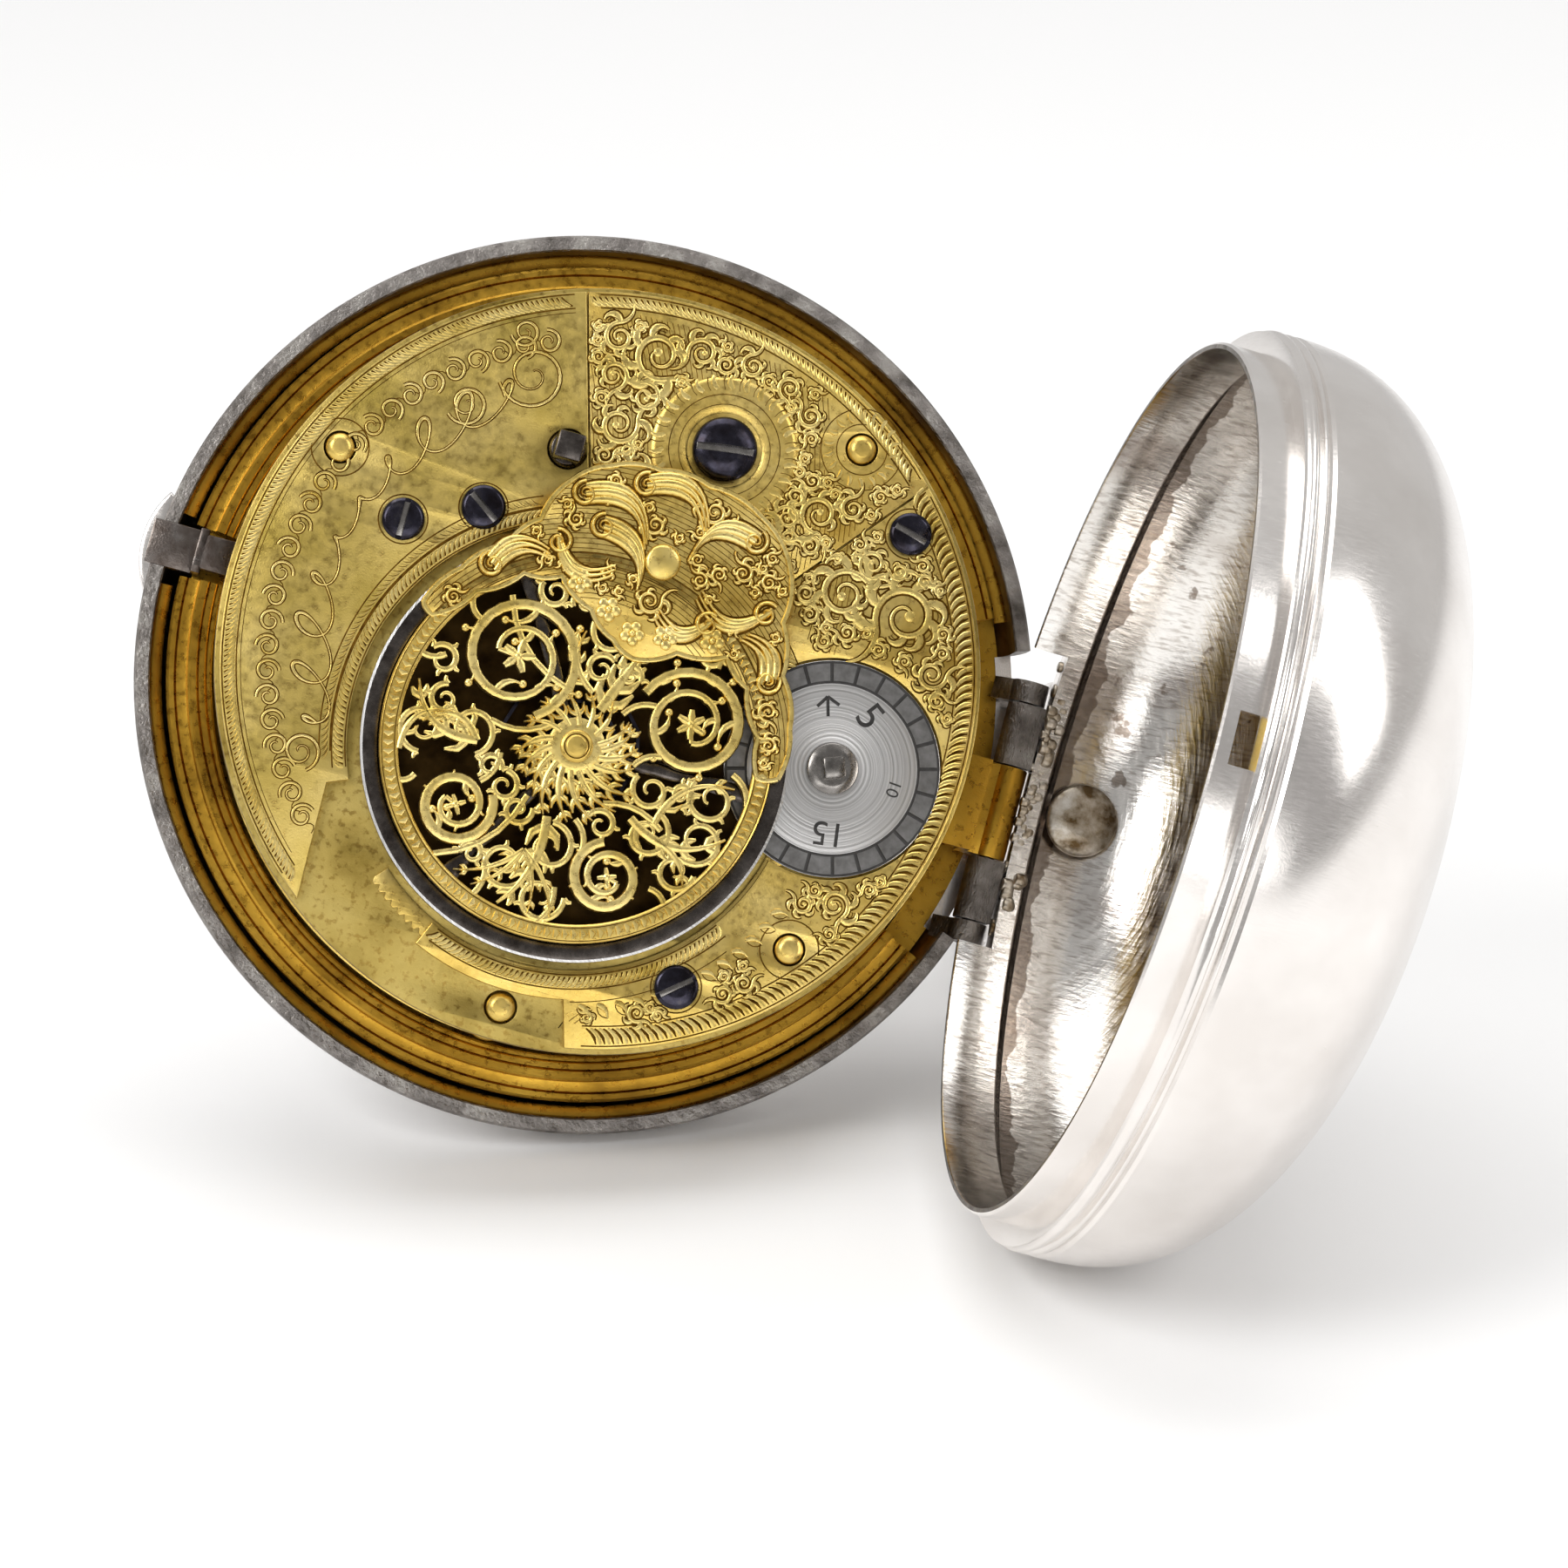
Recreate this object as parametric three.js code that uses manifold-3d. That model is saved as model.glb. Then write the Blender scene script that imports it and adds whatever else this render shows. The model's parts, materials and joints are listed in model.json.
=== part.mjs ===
// A silver hunter pocket watch with a fusee verge movement, standing half open like a book.
// Millimetres. Every piece is drawn in the movement's own frame: the origin is the middle of the
// front cover's rim, +X points to XII and the case hinge, +Z points out of the back of the movement,
// and the dial is on the -Z side. The finished watch is then turned into the pose it stands in.
import * as THREE from "three";
import { mergeVertices } from "three/addons/utils/BufferGeometryUtils.js";
import Module from "manifold-3d";

const wasm = await Module();
wasm.setup();

// ---------------------------------------------------------------- driving dimensions
const CASE_R = 28; // outer radius of the case
const ROUND = 36; // facets of a large turned piece
const GAP = 0.1; // clearance between pieces that touch on the real watch
const SAW = 0.06; // half width of the straight cuts between the engraved plates
const SCREW_SHANK_R = 0.62;

const HINGE = { x: 26.97, z: -0.95, y: -0.9, knuckleR: 1.15, pinR: 0.5 };
const HINGE_REACH = 9.5; // half length of the cut-out round the case hinge
const BOWL_OPEN = 95.7; // how far the bowl stands open, in degrees
const BOW_REST = 0; // how far the bow is swung on its pendant, in degrees

const RIM = { inner: 26.92, thick: 1.8 }; // front cover's rim
const LID_DEPTH = 8.8;
const COLLAR = { outer: 26.6, inner: 26.15, depth: 1.9 }; // bowl's collar, which enters the rim
const SHOULDER_Z = 0.25;
const BOWL = { outer: 28.2, inner: 27.3, spring: 2.2, top: 17.1, skin: 0.85, squareness: 2.4 };
const EDGE = { outer: 25.9, step: 24.65, inner: 23.15, top: 0.75, bottom: -1.3 }; // brass edge
const PENDANT = { z: 4.2, neckR: 1.9, pivot: 34.3, knopR: 3.1 };
const BOW = { ringR: 8.8, wireR: 1.15, halfGap: 3.9 };

const PILLAR_PLATE = { r: 22.9, z0: -0.45, z1: 0.75 };
const TOP_PLATE = { r: 23.3, z0: 8.6, z1: 9.6 };
const COVER = { r: 23.0, z0: 9.65, z1: 10.25 }; // engraved plates that lie on the top plate
const DIAL = { r: 22.4, z0: -2.1, z1: -1.6 };
const CRYSTAL = { r: 22.4, z: -2.6, top: -6.9, thick: 0.7 };
const BEZEL = { outer: 25.2, inner: 22.6, z0: -3.6, z1: -1.4 };

const BALANCE = { x: -0.3, y: -5.05, r: 13.0, rimWidth: 1.1, z0: 10.5, z1: 11.1 };
const TABLE = { r: 11.9, z0: 11.35, z1: 12.05 }; // pierced table of the balance cock
const COVER_BORE = { name: 13.75, slide: 14.75, foot: 13.6 }; // radii round the balance staff
const RACK = { outer: 14.6, inner: 13.4, z0: 9.66, z1: 9.9, from: -132, to: 28 };
const RACK_ROOF = 9.96; // the slide plate covers the rack from here up
const REGULATOR = { x: 15.15, y: -2.1, r: 6.6, z0: 9.98, z1: 10.3, pinionR: 1.05 };

const PILLARS = [[-18.7, 8.8, 10.6], [11.9, 17.2, 10.65], [-0.5, -21.3, 10.05], [15.45, -13.4, 10.6]];
const NAME_SCREWS = [[-13.9, 5.6], [-9.4, 7.6]];
const SLIDE_SCREWS = [[16.1, 13.0], [9.4, -17.4]];
const COCK_SCREW = [3.8, 14.9];

const FUSEE = { x: -5.4, y: 12.4, greatR: 10.2, baseR: 6.2, tipR: 2.7, squareTop: 12.3, square: 1.6 };
const BARREL = { x: -13.5, y: -7.5, r: 7.2, z0: 1.35, z1: 8.25 };
const LEVEL_LOW = [1.0, 1.4]; // centre wheel and the third wheel's pinion
const LEVEL_MID = [1.8, 2.2]; // great wheel, third wheel and the pinions they drive
const CENTRE = { r: 7.2, teeth: 28, pinionR: 1.5, arborR: 0.5 };
const THIRD = { x: 5.59, y: -6.13, r: 6.3, teeth: 24 };
const CONTRATE = { x: 5.78, y: -13.73, r: 5.6 };
const CROWN = { z: 5.7, r: 2.6, wheel: 1.85, pinion: 5.2, end: 6.5, heading: -55 }; // out from the verge

const BOLT = { y0: 0.0, y1: 2.8, tip: -28.3, heel: -22.9 };

// ---------------------------------------------------------------- materials
const finish = (color, roughness, metalness = 1) =>
  new THREE.MeshStandardMaterial({ color, roughness, metalness });
const SILVER = finish(0xd9d6d0, 0.22);
const WORN_SILVER = finish(0x8f8a84, 0.45);
const GILT = finish(0xd9a93c, 0.35);
const BRASS = finish(0xb98a2e, 0.4);
const STEEL = finish(0x77726f, 0.35);
const BLUED = finish(0x23263c, 0.25);
const SILVERED = finish(0xaba9a5, 0.5);
const ENAMEL = finish(0xf2efe6, 0.2, 0);
const GLASS = new THREE.MeshStandardMaterial({
  color: 0xf4f8f8, roughness: 0.05, metalness: 0, transparent: true, opacity: 0.3,
});

// ---------------------------------------------------------------- solids
const rad = THREE.MathUtils.degToRad;

function solid(geometry) {
  const bare = geometry.clone();
  bare.deleteAttribute("normal");
  bare.deleteAttribute("uv");
  const merged = mergeVertices(bare, 1e-5);
  const at = merged.attributes.position;
  const corner = (i) => new THREE.Vector3().fromBufferAttribute(at, i);
  const faces = [];
  let volume = 0;
  for (let i = 0; i < merged.index.count; i += 3) {
    const [a, b, c] = [0, 1, 2].map((k) => merged.index.getX(i + k));
    if (a === b || b === c || c === a) continue;
    faces.push([a, b, c]);
    volume += corner(a).dot(corner(b).cross(corner(c)));
  }
  const outward = volume > 0 ? faces : faces.map(([a, b, c]) => [a, c, b]);
  return new wasm.Manifold(new wasm.Mesh({
    numProp: 3,
    vertProperties: new Float32Array(at.array),
    triVerts: new Uint32Array(outward.flat()),
  }));
}

function geometryOf(body) {
  const mesh = body.getMesh();
  const geometry = new THREE.BufferGeometry();
  geometry.setAttribute("position", new THREE.BufferAttribute(mesh.vertProperties.slice(), 3));
  geometry.setIndex(new THREE.BufferAttribute(mesh.triVerts.slice(), 1));
  const flat = geometry.toNonIndexed();
  flat.computeVertexNormals();
  return flat;
}

const join = (first, ...rest) => rest.reduce((sum, next) => sum.add(next), first);
const cut = (first, ...rest) => rest.reduce((left, next) => left.subtract(next), first);

// A straight rod between two points.
function rod(radius, from, to, sides = 16) {
  const start = new THREE.Vector3(...from);
  const along = new THREE.Vector3(...to).sub(start);
  const geometry = new THREE.CylinderGeometry(radius, radius, along.length(), sides);
  geometry.translate(0, along.length() / 2, 0);
  const turn = new THREE.Quaternion().setFromUnitVectors(new THREE.Vector3(0, 1, 0), along.normalize());
  geometry.applyQuaternion(turn);
  geometry.translate(...from);
  return solid(geometry);
}

const disc = (radius, x, y, z0, z1, sides = 16) => rod(radius, [x, y, z0], [x, y, z1], sides);

function block([x0, x1], [y0, y1], [z0, z1]) {
  const geometry = new THREE.BoxGeometry(x1 - x0, y1 - y0, z1 - z0);
  geometry.translate((x0 + x1) / 2, (y0 + y1) / 2, (z0 + z1) / 2);
  return solid(geometry);
}

// A profile of [radius, height] pairs turned round the Z axis, then moved to x, y.
function turned(profile, x = 0, y = 0, sides = ROUND) {
  const ring = profile.map(([r, h]) => new THREE.Vector2(r, h));
  const onAxis = profile[0][0] === 0 && profile.at(-1)[0] === 0;
  if (!onAxis) ring.push(ring[0].clone());
  const geometry = new THREE.LatheGeometry(ring, sides);
  geometry.rotateX(Math.PI / 2);
  geometry.translate(x, y, 0);
  return solid(geometry);
}

function slab(outline, z0, z1, holes = []) {
  const shape = new THREE.Shape(outline.map(([x, y]) => new THREE.Vector2(x, y)));
  shape.holes = holes.map((hole) => new THREE.Path(hole.map(([x, y]) => new THREE.Vector2(x, y))));
  const geometry = new THREE.ExtrudeGeometry(shape, { depth: z1 - z0, bevelEnabled: false });
  geometry.translate(0, 0, z0);
  return solid(geometry);
}

// Points of an arc round x, y, from one angle to another, in degrees.
function arc(x, y, radius, from, to, steps) {
  return Array.from({ length: steps + 1 }, (_, i) => {
    const a = rad(from + ((to - from) * i) / steps);
    return [x + radius * Math.cos(a), y + radius * Math.sin(a)];
  });
}

const circle = (radius, x = 0, y = 0, steps = ROUND) => arc(x, y, radius, 0, 360, steps).slice(0, -1);

// The part of a ring between two angles.
const ringPart = (x, y, outer, inner, from, to, steps) => [
  ...arc(x, y, outer, from, to, steps),
  ...arc(x, y, inner, to, from, steps),
];

// Outline of a toothed wheel with pointed teeth.
function toothed(tipR, depth, teeth, x, y) {
  return Array.from({ length: teeth * 2 }, (_, i) => {
    const a = (i * Math.PI) / teeth;
    const r = i % 2 ? tipR - depth : tipR;
    return [x + r * Math.cos(a), y + r * Math.sin(a)];
  });
}

// Sector-shaped openings that leave a wheel with arms.
function openings(x, y, outer, inner, count, armDegrees) {
  const step = 360 / count;
  return Array.from({ length: count }, (_, i) => {
    const from = i * step + armDegrees / 2;
    const to = (i + 1) * step - armDegrees / 2;
    return ringPart(x, y, outer, inner, from, to, Math.max(3, Math.round(24 / count)));
  });
}

// A flat strip wound as a spiral, seen along Z.
function spiral(x, y, fromR, toR, turns, width, stepsPerTurn) {
  const count = Math.round(turns * stepsPerTurn);
  const side = (offset) => Array.from({ length: count + 1 }, (_, i) => {
    const a = (i / stepsPerTurn) * 2 * Math.PI;
    const r = fromR + ((toR - fromR) * i) / count + offset;
    return [x + r * Math.cos(a), y + r * Math.sin(a)];
  });
  return [...side(width / 2), ...side(-width / 2).reverse()];
}

// A quarter of a superellipse from the spring line to the top of a dome.
function domeProfile(radius, spring, top, squareness, steps) {
  return Array.from({ length: steps + 1 }, (_, i) => {
    const t = (i / steps) * (Math.PI / 2);
    const r = i === steps ? 0 : radius * Math.cos(t) ** (2 / squareness);
    return [r, spring + (top - spring) * Math.sin(t) ** (2 / squareness)];
  });
}

// ---------------------------------------------------------------- groups
const watch = new THREE.Group();
const bowlPivot = new THREE.Group();
bowlPivot.position.set(HINGE.x, 0, HINGE.z);
bowlPivot.rotation.y = rad(BOWL_OPEN);
const bowlFrame = new THREE.Group();
bowlFrame.position.set(-HINGE.x, 0, -HINGE.z);
const bowPivot = new THREE.Group();
bowPivot.position.set(PENDANT.pivot, 0, PENDANT.z);
bowPivot.rotation.y = rad(BOW_REST);
const bowFrame = new THREE.Group();
bowFrame.position.set(-PENDANT.pivot, 0, -PENDANT.z);
watch.add(bowlPivot);
bowlPivot.add(bowlFrame);
bowlFrame.add(bowPivot);
bowPivot.add(bowFrame);

function piece(name, body, material, group = watch) {
  const mesh = new THREE.Mesh(geometryOf(body), material);
  mesh.name = name;
  group.add(mesh);
}

// ---------------------------------------------------------------- case
const hingeRod = (radius, y0, y1, sides = 12) =>
  rod(radius, [HINGE.x, y0, HINGE.z], [HINGE.x, y1, HINGE.z], sides);
const pinHole = hingeRod(HINGE.pinR + 0.06, -14, 14);

function makeBowl() {
  const outer = domeProfile(BOWL.outer, BOWL.spring, BOWL.top, BOWL.squareness, 7);
  const inner = domeProfile(BOWL.inner, BOWL.spring, BOWL.top - BOWL.skin, BOWL.squareness, 6);
  const shell = turned([
    ...outer.reverse(),
    [27.95, 1.75],
    [27.95, 1.55],
    [28.2, 1.25],
    [28.2, 0.6],
    [27.95, SHOULDER_Z],
    [COLLAR.outer, SHOULDER_Z],
    [COLLAR.outer, -COLLAR.depth],
    [COLLAR.inner, -COLLAR.depth],
    [COLLAR.inner, 1.5],
    [27.1, 1.9],
    ...inner,
  ]);
  const hingeRelief = block([20, 30], [-HINGE_REACH, HINGE_REACH], [-3, SHOULDER_Z]);
  const boltNotch = block([-30, -24], [BOLT.y0 - 0.5, BOLT.y1 + 0.5], [-3, SHOULDER_Z]);
  const pendantHole = rod(PENDANT.neckR + 0.15, [24, 0, PENDANT.z], [30, 0, PENDANT.z]);
  return cut(shell, hingeRelief, boltNotch, pendantHole);
}
piece("case_bowl", makeBowl(), SILVER, bowlFrame);

// Silver knuckles that carry the bowl on the hinge pin.
const bowlKnuckles = { bowl_knuckle_upper: [3.0, 6.95], bowl_knuckle_lower: [-6.95, -3.0] };
for (const [name, [y0, y1]] of Object.entries(bowlKnuckles)) {
  const span = [HINGE.y + y0, HINGE.y + y1];
  const leaf = block([HINGE.x - 1.05, HINGE.x + 0.8], span, [HINGE.z, SHOULDER_Z - GAP]);
  const tube = hingeRod(HINGE.knuckleR, span[0], span[1]);
  piece(name, cut(join(tube, leaf), pinHole), SILVER, bowlFrame);
}
piece("hinge_pin", hingeRod(HINGE.pinR, HINGE.y - 8.4, HINGE.y + 8.4), STEEL);

// Pendant: riveted head inside the bowl, neck through its wall, stem and knop outside.
function makePendant() {
  const { z, pivot, knopR, neckR } = PENDANT;
  const profile = [
    [0, 25.7], [1.7, 25.75], [2.3, 26.0], [2.3, 26.25], [neckR, 26.3], [neckR, 28.5],
    [3.0, 28.55], [3.0, 29.1], [2.2, 29.6], [2.0, 30.6], [2.1, 31.4], [2.7, 31.7],
    [knopR, 33.0], [knopR, 35.3], [2.5, 36.6], [1.3, 37.2], [0, 37.3],
  ];
  const ring = profile.map(([r, h]) => new THREE.Vector2(r, h));
  const geometry = new THREE.LatheGeometry(ring, 16);
  geometry.rotateZ(-Math.PI / 2);
  geometry.translate(0, 0, z);
  const bowHole = rod(0.7, [pivot, -6, z], [pivot, 6, z], 8);
  return cut(solid(geometry), bowHole);
}
piece("pendant", makePendant(), SILVER, bowlFrame);

// Bow: round wire bent to a ring whose ends stand either side of the knop.
function makeBow() {
  const { ringR, wireR, halfGap } = BOW;
  const open = Math.asin(halfGap / ringR);
  const middle = PENDANT.pivot + ringR * Math.cos(open);
  const path = new THREE.CatmullRomCurve3(Array.from({ length: 21 }, (_, i) => {
    const a = -(Math.PI - open) + ((2 * Math.PI - 2 * open) * i) / 20;
    return new THREE.Vector3(middle + ringR * Math.cos(a), ringR * Math.sin(a), PENDANT.z);
  }));
  const section = new THREE.Shape(circle(wireR, 0, 0, 8).map(([x, y]) => new THREE.Vector2(x, y)));
  const wire = solid(new THREE.ExtrudeGeometry(section, { steps: 20, extrudePath: path }));
  const eyes = [1, -1].map((side) => rod(
    1.35,
    [PENDANT.pivot, side * (halfGap - 0.55), PENDANT.z],
    [PENDANT.pivot, side * (halfGap + 0.75), PENDANT.z],
    12,
  ));
  const hole = rod(0.6, [PENDANT.pivot, -9, PENDANT.z], [PENDANT.pivot, 9, PENDANT.z], 8);
  return cut(join(wire, ...eyes), hole);
}
piece("bow", makeBow(), SILVER, bowFrame);
const bowPinReach = BOW.halfGap + 0.75;
piece("bow_pin", rod(0.5, [PENDANT.pivot, -bowPinReach, PENDANT.z],
  [PENDANT.pivot, bowPinReach, PENDANT.z], 8), STEEL, bowFrame);

// Front cover with its thumb lip at VI.
function makeLid() {
  const outer = domeProfile(CASE_R, -0.9, -LID_DEPTH, 2.6, 5);
  const inner = domeProfile(RIM.inner, -RIM.thick, -LID_DEPTH + 0.75, 2.6, 5);
  const shell = turned([[RIM.inner, 0], [CASE_R, 0], ...outer, ...inner.reverse()]);
  const thumbLip = slab(
    [...arc(-CASE_R + 5.0, 1.4, 5.7, 145, 215, 8), [-27.4, -1.5], [-27.4, 4.3]],
    -1.5,
    -0.15,
  );
  const hingeRelief = hingeRod(2.6, -HINGE_REACH, HINGE_REACH, 24);
  const boltNotch = block([-30, -24], [BOLT.y0 - 0.15, BOLT.y1 + 0.15], [-0.9, 1]);
  return cut(join(shell, thumbLip), hingeRelief, boltNotch);
}
piece("front_lid", makeLid(), WORN_SILVER);

const lidKnuckles = { lid_knuckle_upper: [7.05, 8.4], lid_knuckle_lower: [-8.4, -7.05] };
for (const [name, [y0, y1]] of Object.entries(lidKnuckles)) {
  const span = [HINGE.y + y0, HINGE.y + y1];
  const tube = hingeRod(HINGE.knuckleR, span[0], span[1]);
  const strap = slab([[-2.35, -0.75], [0, -0.75], [0, 0.4], [-2.35, 0.4]], span[0], span[1])
    .rotate([-90, 0, 0]).rotate([0, -45, 0]).translate([HINGE.x, 0, HINGE.z]);
  piece(name, cut(join(tube, strap), pinHole), SILVER);
}

// ---------------------------------------------------------------- brass edge, bezel and dial
const swingRelief = hingeRod(3.2, -12, 12, 24);

function makeBrassEdge() {
  const ring = turned([
    [EDGE.inner, EDGE.bottom], [EDGE.outer, EDGE.bottom], [EDGE.outer, 0],
    [EDGE.step, 0], [EDGE.step, EDGE.top], [EDGE.inner, EDGE.top],
  ]);
  const boltWay = block([-30, -22], [BOLT.y0 - 0.15, BOLT.y1 + 0.15], [-0.9, 3]);
  return cut(ring, swingRelief, boltWay);
}
piece("brass_edge", makeBrassEdge(), GILT);

// Brass knuckle of the movement, with the strap that holds it to the brass edge.
function makeMovementJoint() {
  const span = [HINGE.y - 2.9, HINGE.y + 2.9];
  const foot = block([23.3, 25.6], span, [EDGE.top + GAP, 1.25]);
  const wall = block([24.9, 25.6], span, [-1.5, 1.25]);
  const arm = block([25.3, HINGE.x], span, [HINGE.z - 0.6, HINGE.z + 0.9]);
  return cut(join(hingeRod(HINGE.knuckleR, ...span), foot, wall, arm), pinHole);
}
piece("movement_joint", makeMovementJoint(), BRASS);

const bezelRing = turned([
  [BEZEL.inner, BEZEL.z1], [BEZEL.outer, BEZEL.z1], [BEZEL.outer, BEZEL.z1 - 1.1],
  [24.2, BEZEL.z0 + 0.35], [23.4, BEZEL.z0], [BEZEL.inner, BEZEL.z0],
]);
piece("bezel", cut(bezelRing, swingRelief), GILT);

function makeCrystal() {
  const { r, z, top, thick } = CRYSTAL;
  const outside = Array.from({ length: 5 }, (_, i) => {
    const t = 1 - i / 4;
    return [r * t, z - 0.8 + (top - z + 0.8) * (1 - t ** 2)];
  });
  const inside = Array.from({ length: 5 }, (_, i) => {
    const t = i / 4;
    return [(r - 0.9) * t, z + (top + thick - z) * (1 - t ** 2)];
  });
  return turned([...inside, [r, z], ...outside]);
}
piece("crystal", makeCrystal(), GLASS);
piece("dial", slab(circle(DIAL.r), DIAL.z0, DIAL.z1, [circle(1.45, 0, 0, 12)]), ENAMEL);

// Hands point to ten past ten, seen from the front.
function makeHand(length, width, boreR, hubR, angle, z0, z1) {
  const blade = [
    [hubR * 0.8, -0.3], [length * 0.62, -0.28], [length * 0.72, -width], [length, 0],
    [length * 0.72, width], [length * 0.62, 0.28], [hubR * 0.8, 0.3],
  ];
  const a = rad(angle);
  const pointed = blade.map(([x, y]) => [
    x * Math.cos(a) - y * Math.sin(a),
    x * Math.sin(a) + y * Math.cos(a),
  ]);
  const hand = join(slab(pointed, z0, z1), disc(hubR, 0, 0, z0, z1));
  return cut(hand, disc(boreR, 0, 0, z0 - 1, z1 + 1, 12));
}
piece("hour_hand", makeHand(11.5, 1.1, 1.31, 1.9, 55, -2.75, -2.55), BLUED);
piece("minute_hand", makeHand(17.0, 0.8, 0.76, 1.4, -60, -3.25, -3.05), BLUED);

// ---------------------------------------------------------------- plates and pillars
const screwHole = ([x, y]) => disc(0.75, x, y, 8, 12, 8);
const pillarHole = ([x, y]) => disc(1.0, x, y, 8, 12, 10);

piece("pillar_plate", slab(circle(PILLAR_PLATE.r), PILLAR_PLATE.z0, PILLAR_PLATE.z1,
  [circle(0.65, 0, 0, 10)]), GILT);

function makeTopPlate() {
  const plate = slab(circle(TOP_PLATE.r), TOP_PLATE.z0, TOP_PLATE.z1);
  return cut(
    plate,
    ...PILLARS.map(pillarHole),
    ...[...NAME_SCREWS, ...SLIDE_SCREWS, COCK_SCREW].map(screwHole),
    disc(1.3, FUSEE.x, FUSEE.y, 8, 12),
    disc(1.2, BALANCE.x, BALANCE.y, 8, 12),
    disc(0.95, REGULATOR.x, REGULATOR.y, 8, 12, 12),
  );
}
piece("top_plate", makeTopPlate(), GILT);

// Baluster pillars, riveted below and pinned through the top plate.
PILLARS.forEach(([x, y, top], i) => {
  const z0 = PILLAR_PLATE.z1 + GAP;
  const z1 = TOP_PLATE.z0 - GAP;
  const middle = (z0 + z1) / 2;
  const profile = [
    [0, z0], [1.75, z0], [1.75, z0 + 0.7], [1.0, z0 + 1.3], [1.45, middle - 0.6],
    [1.45, middle + 0.6], [1.0, z1 - 1.3], [1.75, z1 - 0.7], [1.75, z1], [0.88, z1],
    [0.88, top - 0.3], [0.5, top], [0, top],
  ];
  piece(`pillar_${i + 1}`, turned(profile, x, y, 8), BRASS);
});

// Straight cuts that part the engraved plates: beside the fusee square and towards I o'clock.
const NAME_CUT = [[-6.75, 22.1], [-2.8, 8.0]];
const SLIDE_CUT = [[16.2, 15.8], [10.5, 9.0]];

// A band of the given half width along a line, long enough to cross the plates.
function sawCut([[x0, y0], [x1, y1]], halfWidth, side, reach = 40) {
  const length = Math.hypot(x1 - x0, y1 - y0);
  const [dx, dy] = [(x1 - x0) / length, (y1 - y0) / length];
  const [nx, ny] = [-dy * side, dx * side];
  const at = (along, across) => [x0 + dx * along + nx * across, y0 + dy * along + ny * across];
  return slab([at(-reach, -halfWidth), at(reach, -halfWidth), at(reach, 40), at(-reach, 40)], 8, 14);
}

const coverDisc = slab(circle(COVER.r), COVER.z0, COVER.z1);
const boreRound = (radius) => disc(radius, BALANCE.x, BALANCE.y, 8, 14, ROUND);

function makeNamePlate() {
  const tail = slab(
    [[-30, -30], [30, -30], [30, 30], [-0.3, -5.05], [-14.2, -11.0], [-13.9, -18.0]],
    8,
    14,
  );
  return cut(
    coverDisc,
    boreRound(COVER_BORE.name),
    sawCut(NAME_CUT, SAW, 1),
    tail,
    pillarHole(PILLARS[0]),
    ...NAME_SCREWS.map(screwHole),
    disc(1.45, FUSEE.x, FUSEE.y, 8, 12),
  );
}
piece("name_plate", makeNamePlate(), GILT);

function makeSlidePlate() {
  const stepCut = slab([[3.8, -40], [3.0, -19.8], [3.0, 0], [-40, 0], [-40, -40]], 8, 14);
  const body = cut(coverDisc, sawCut(SLIDE_CUT, SAW, -1), stepCut);
  const rail = slab(ringPart(BALANCE.x, BALANCE.y, 15.2, 13.4, -114, -60, 12), COVER.z0, COVER.z1);
  return cut(
    join(body, rail),
    disc(COVER_BORE.slide, BALANCE.x, BALANCE.y, 8, RACK_ROOF, ROUND),
    boreRound(COVER_BORE.foot),
    pillarHole(PILLARS[2]),
    disc(REGULATOR.r + 0.15, REGULATOR.x, REGULATOR.y, 8, 12, 32),
    pillarHole(PILLARS[3]),
    ...SLIDE_SCREWS.map(screwHole),
  );
}

// ---------------------------------------------------------------- balance cock
function makeCock() {
  const { x, y } = BALANCE;
  const foot = cut(
    coverDisc,
    boreRound(COVER_BORE.foot),
    sawCut(NAME_CUT, SAW, -1),
    sawCut(SLIDE_CUT, SAW, 1),
    block([-40, 40], [-40, 2], [8, 14]),
  );
  const riser = slab(ringPart(x, y, 15.6, COVER_BORE.foot, 56, 98, 10), COVER.z1 - 0.2, TABLE.z1);
  const table = slab(circle(TABLE.r, x, y), TABLE.z0, TABLE.z1,
    openings(x, y, TABLE.r - 1.3, 3.4, 6, 14));
  const neck = slab([
    ...arc(x, y, 12.9, 5, 48, 5), [x + 9.7, y + 13.8], [x + 5.1, y + 16.6], [x + 0.6, y + 16.9],
    [x - 3.6, y + 15.9], [x - 5.3, y + 12.1], ...arc(x, y, 12.6, 118, 153, 5),
    ...arc(x, y, 10.8, 150, 110, 4), [x + 1.9, y + 6.7], [x + 7.4, y + 7.6], ...arc(x, y, 11.0, 40, 4, 4),
  ], TABLE.z0, TABLE.z1);
  return cut(join(foot, riser, table, neck), disc(0.75, ...COCK_SCREW, 8, 14, 12),
    disc(2.5, ...COCK_SCREW, COVER.z1, 14), disc(0.3, x, y, 11, 11.8, 8), pillarHole(PILLARS[1]));
}
piece("balance_cock", makeCock(), GILT);
piece("slide_plate", makeSlidePlate(), GILT);

// ---------------------------------------------------------------- screws
function screw([x, y], headR, headZ0, headZ1, slotAngle) {
  const head = disc(headR, x, y, headZ0, headZ1);
  const shank = disc(SCREW_SHANK_R, x, y, TOP_PLATE.z0 + 0.15, headZ0 + 0.05, 10);
  const slot = block([-headR - 1, headR + 1], [-0.2, 0.2], [headZ1 - 0.3, headZ1 + 1])
    .rotate([0, 0, slotAngle]).translate([x, y, 0]);
  return cut(join(head, shank), slot);
}
const plateHead = [COVER.z1 + 0.02, COVER.z1 + 0.35];
piece("name_plate_screw_1", screw(NAME_SCREWS[0], 1.3, ...plateHead, 0), BLUED);
piece("name_plate_screw_2", screw(NAME_SCREWS[1], 1.35, ...plateHead, -35), BLUED);
piece("slide_plate_screw_1", screw(SLIDE_SCREWS[0], 1.3, ...plateHead, 0), BLUED);
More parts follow.
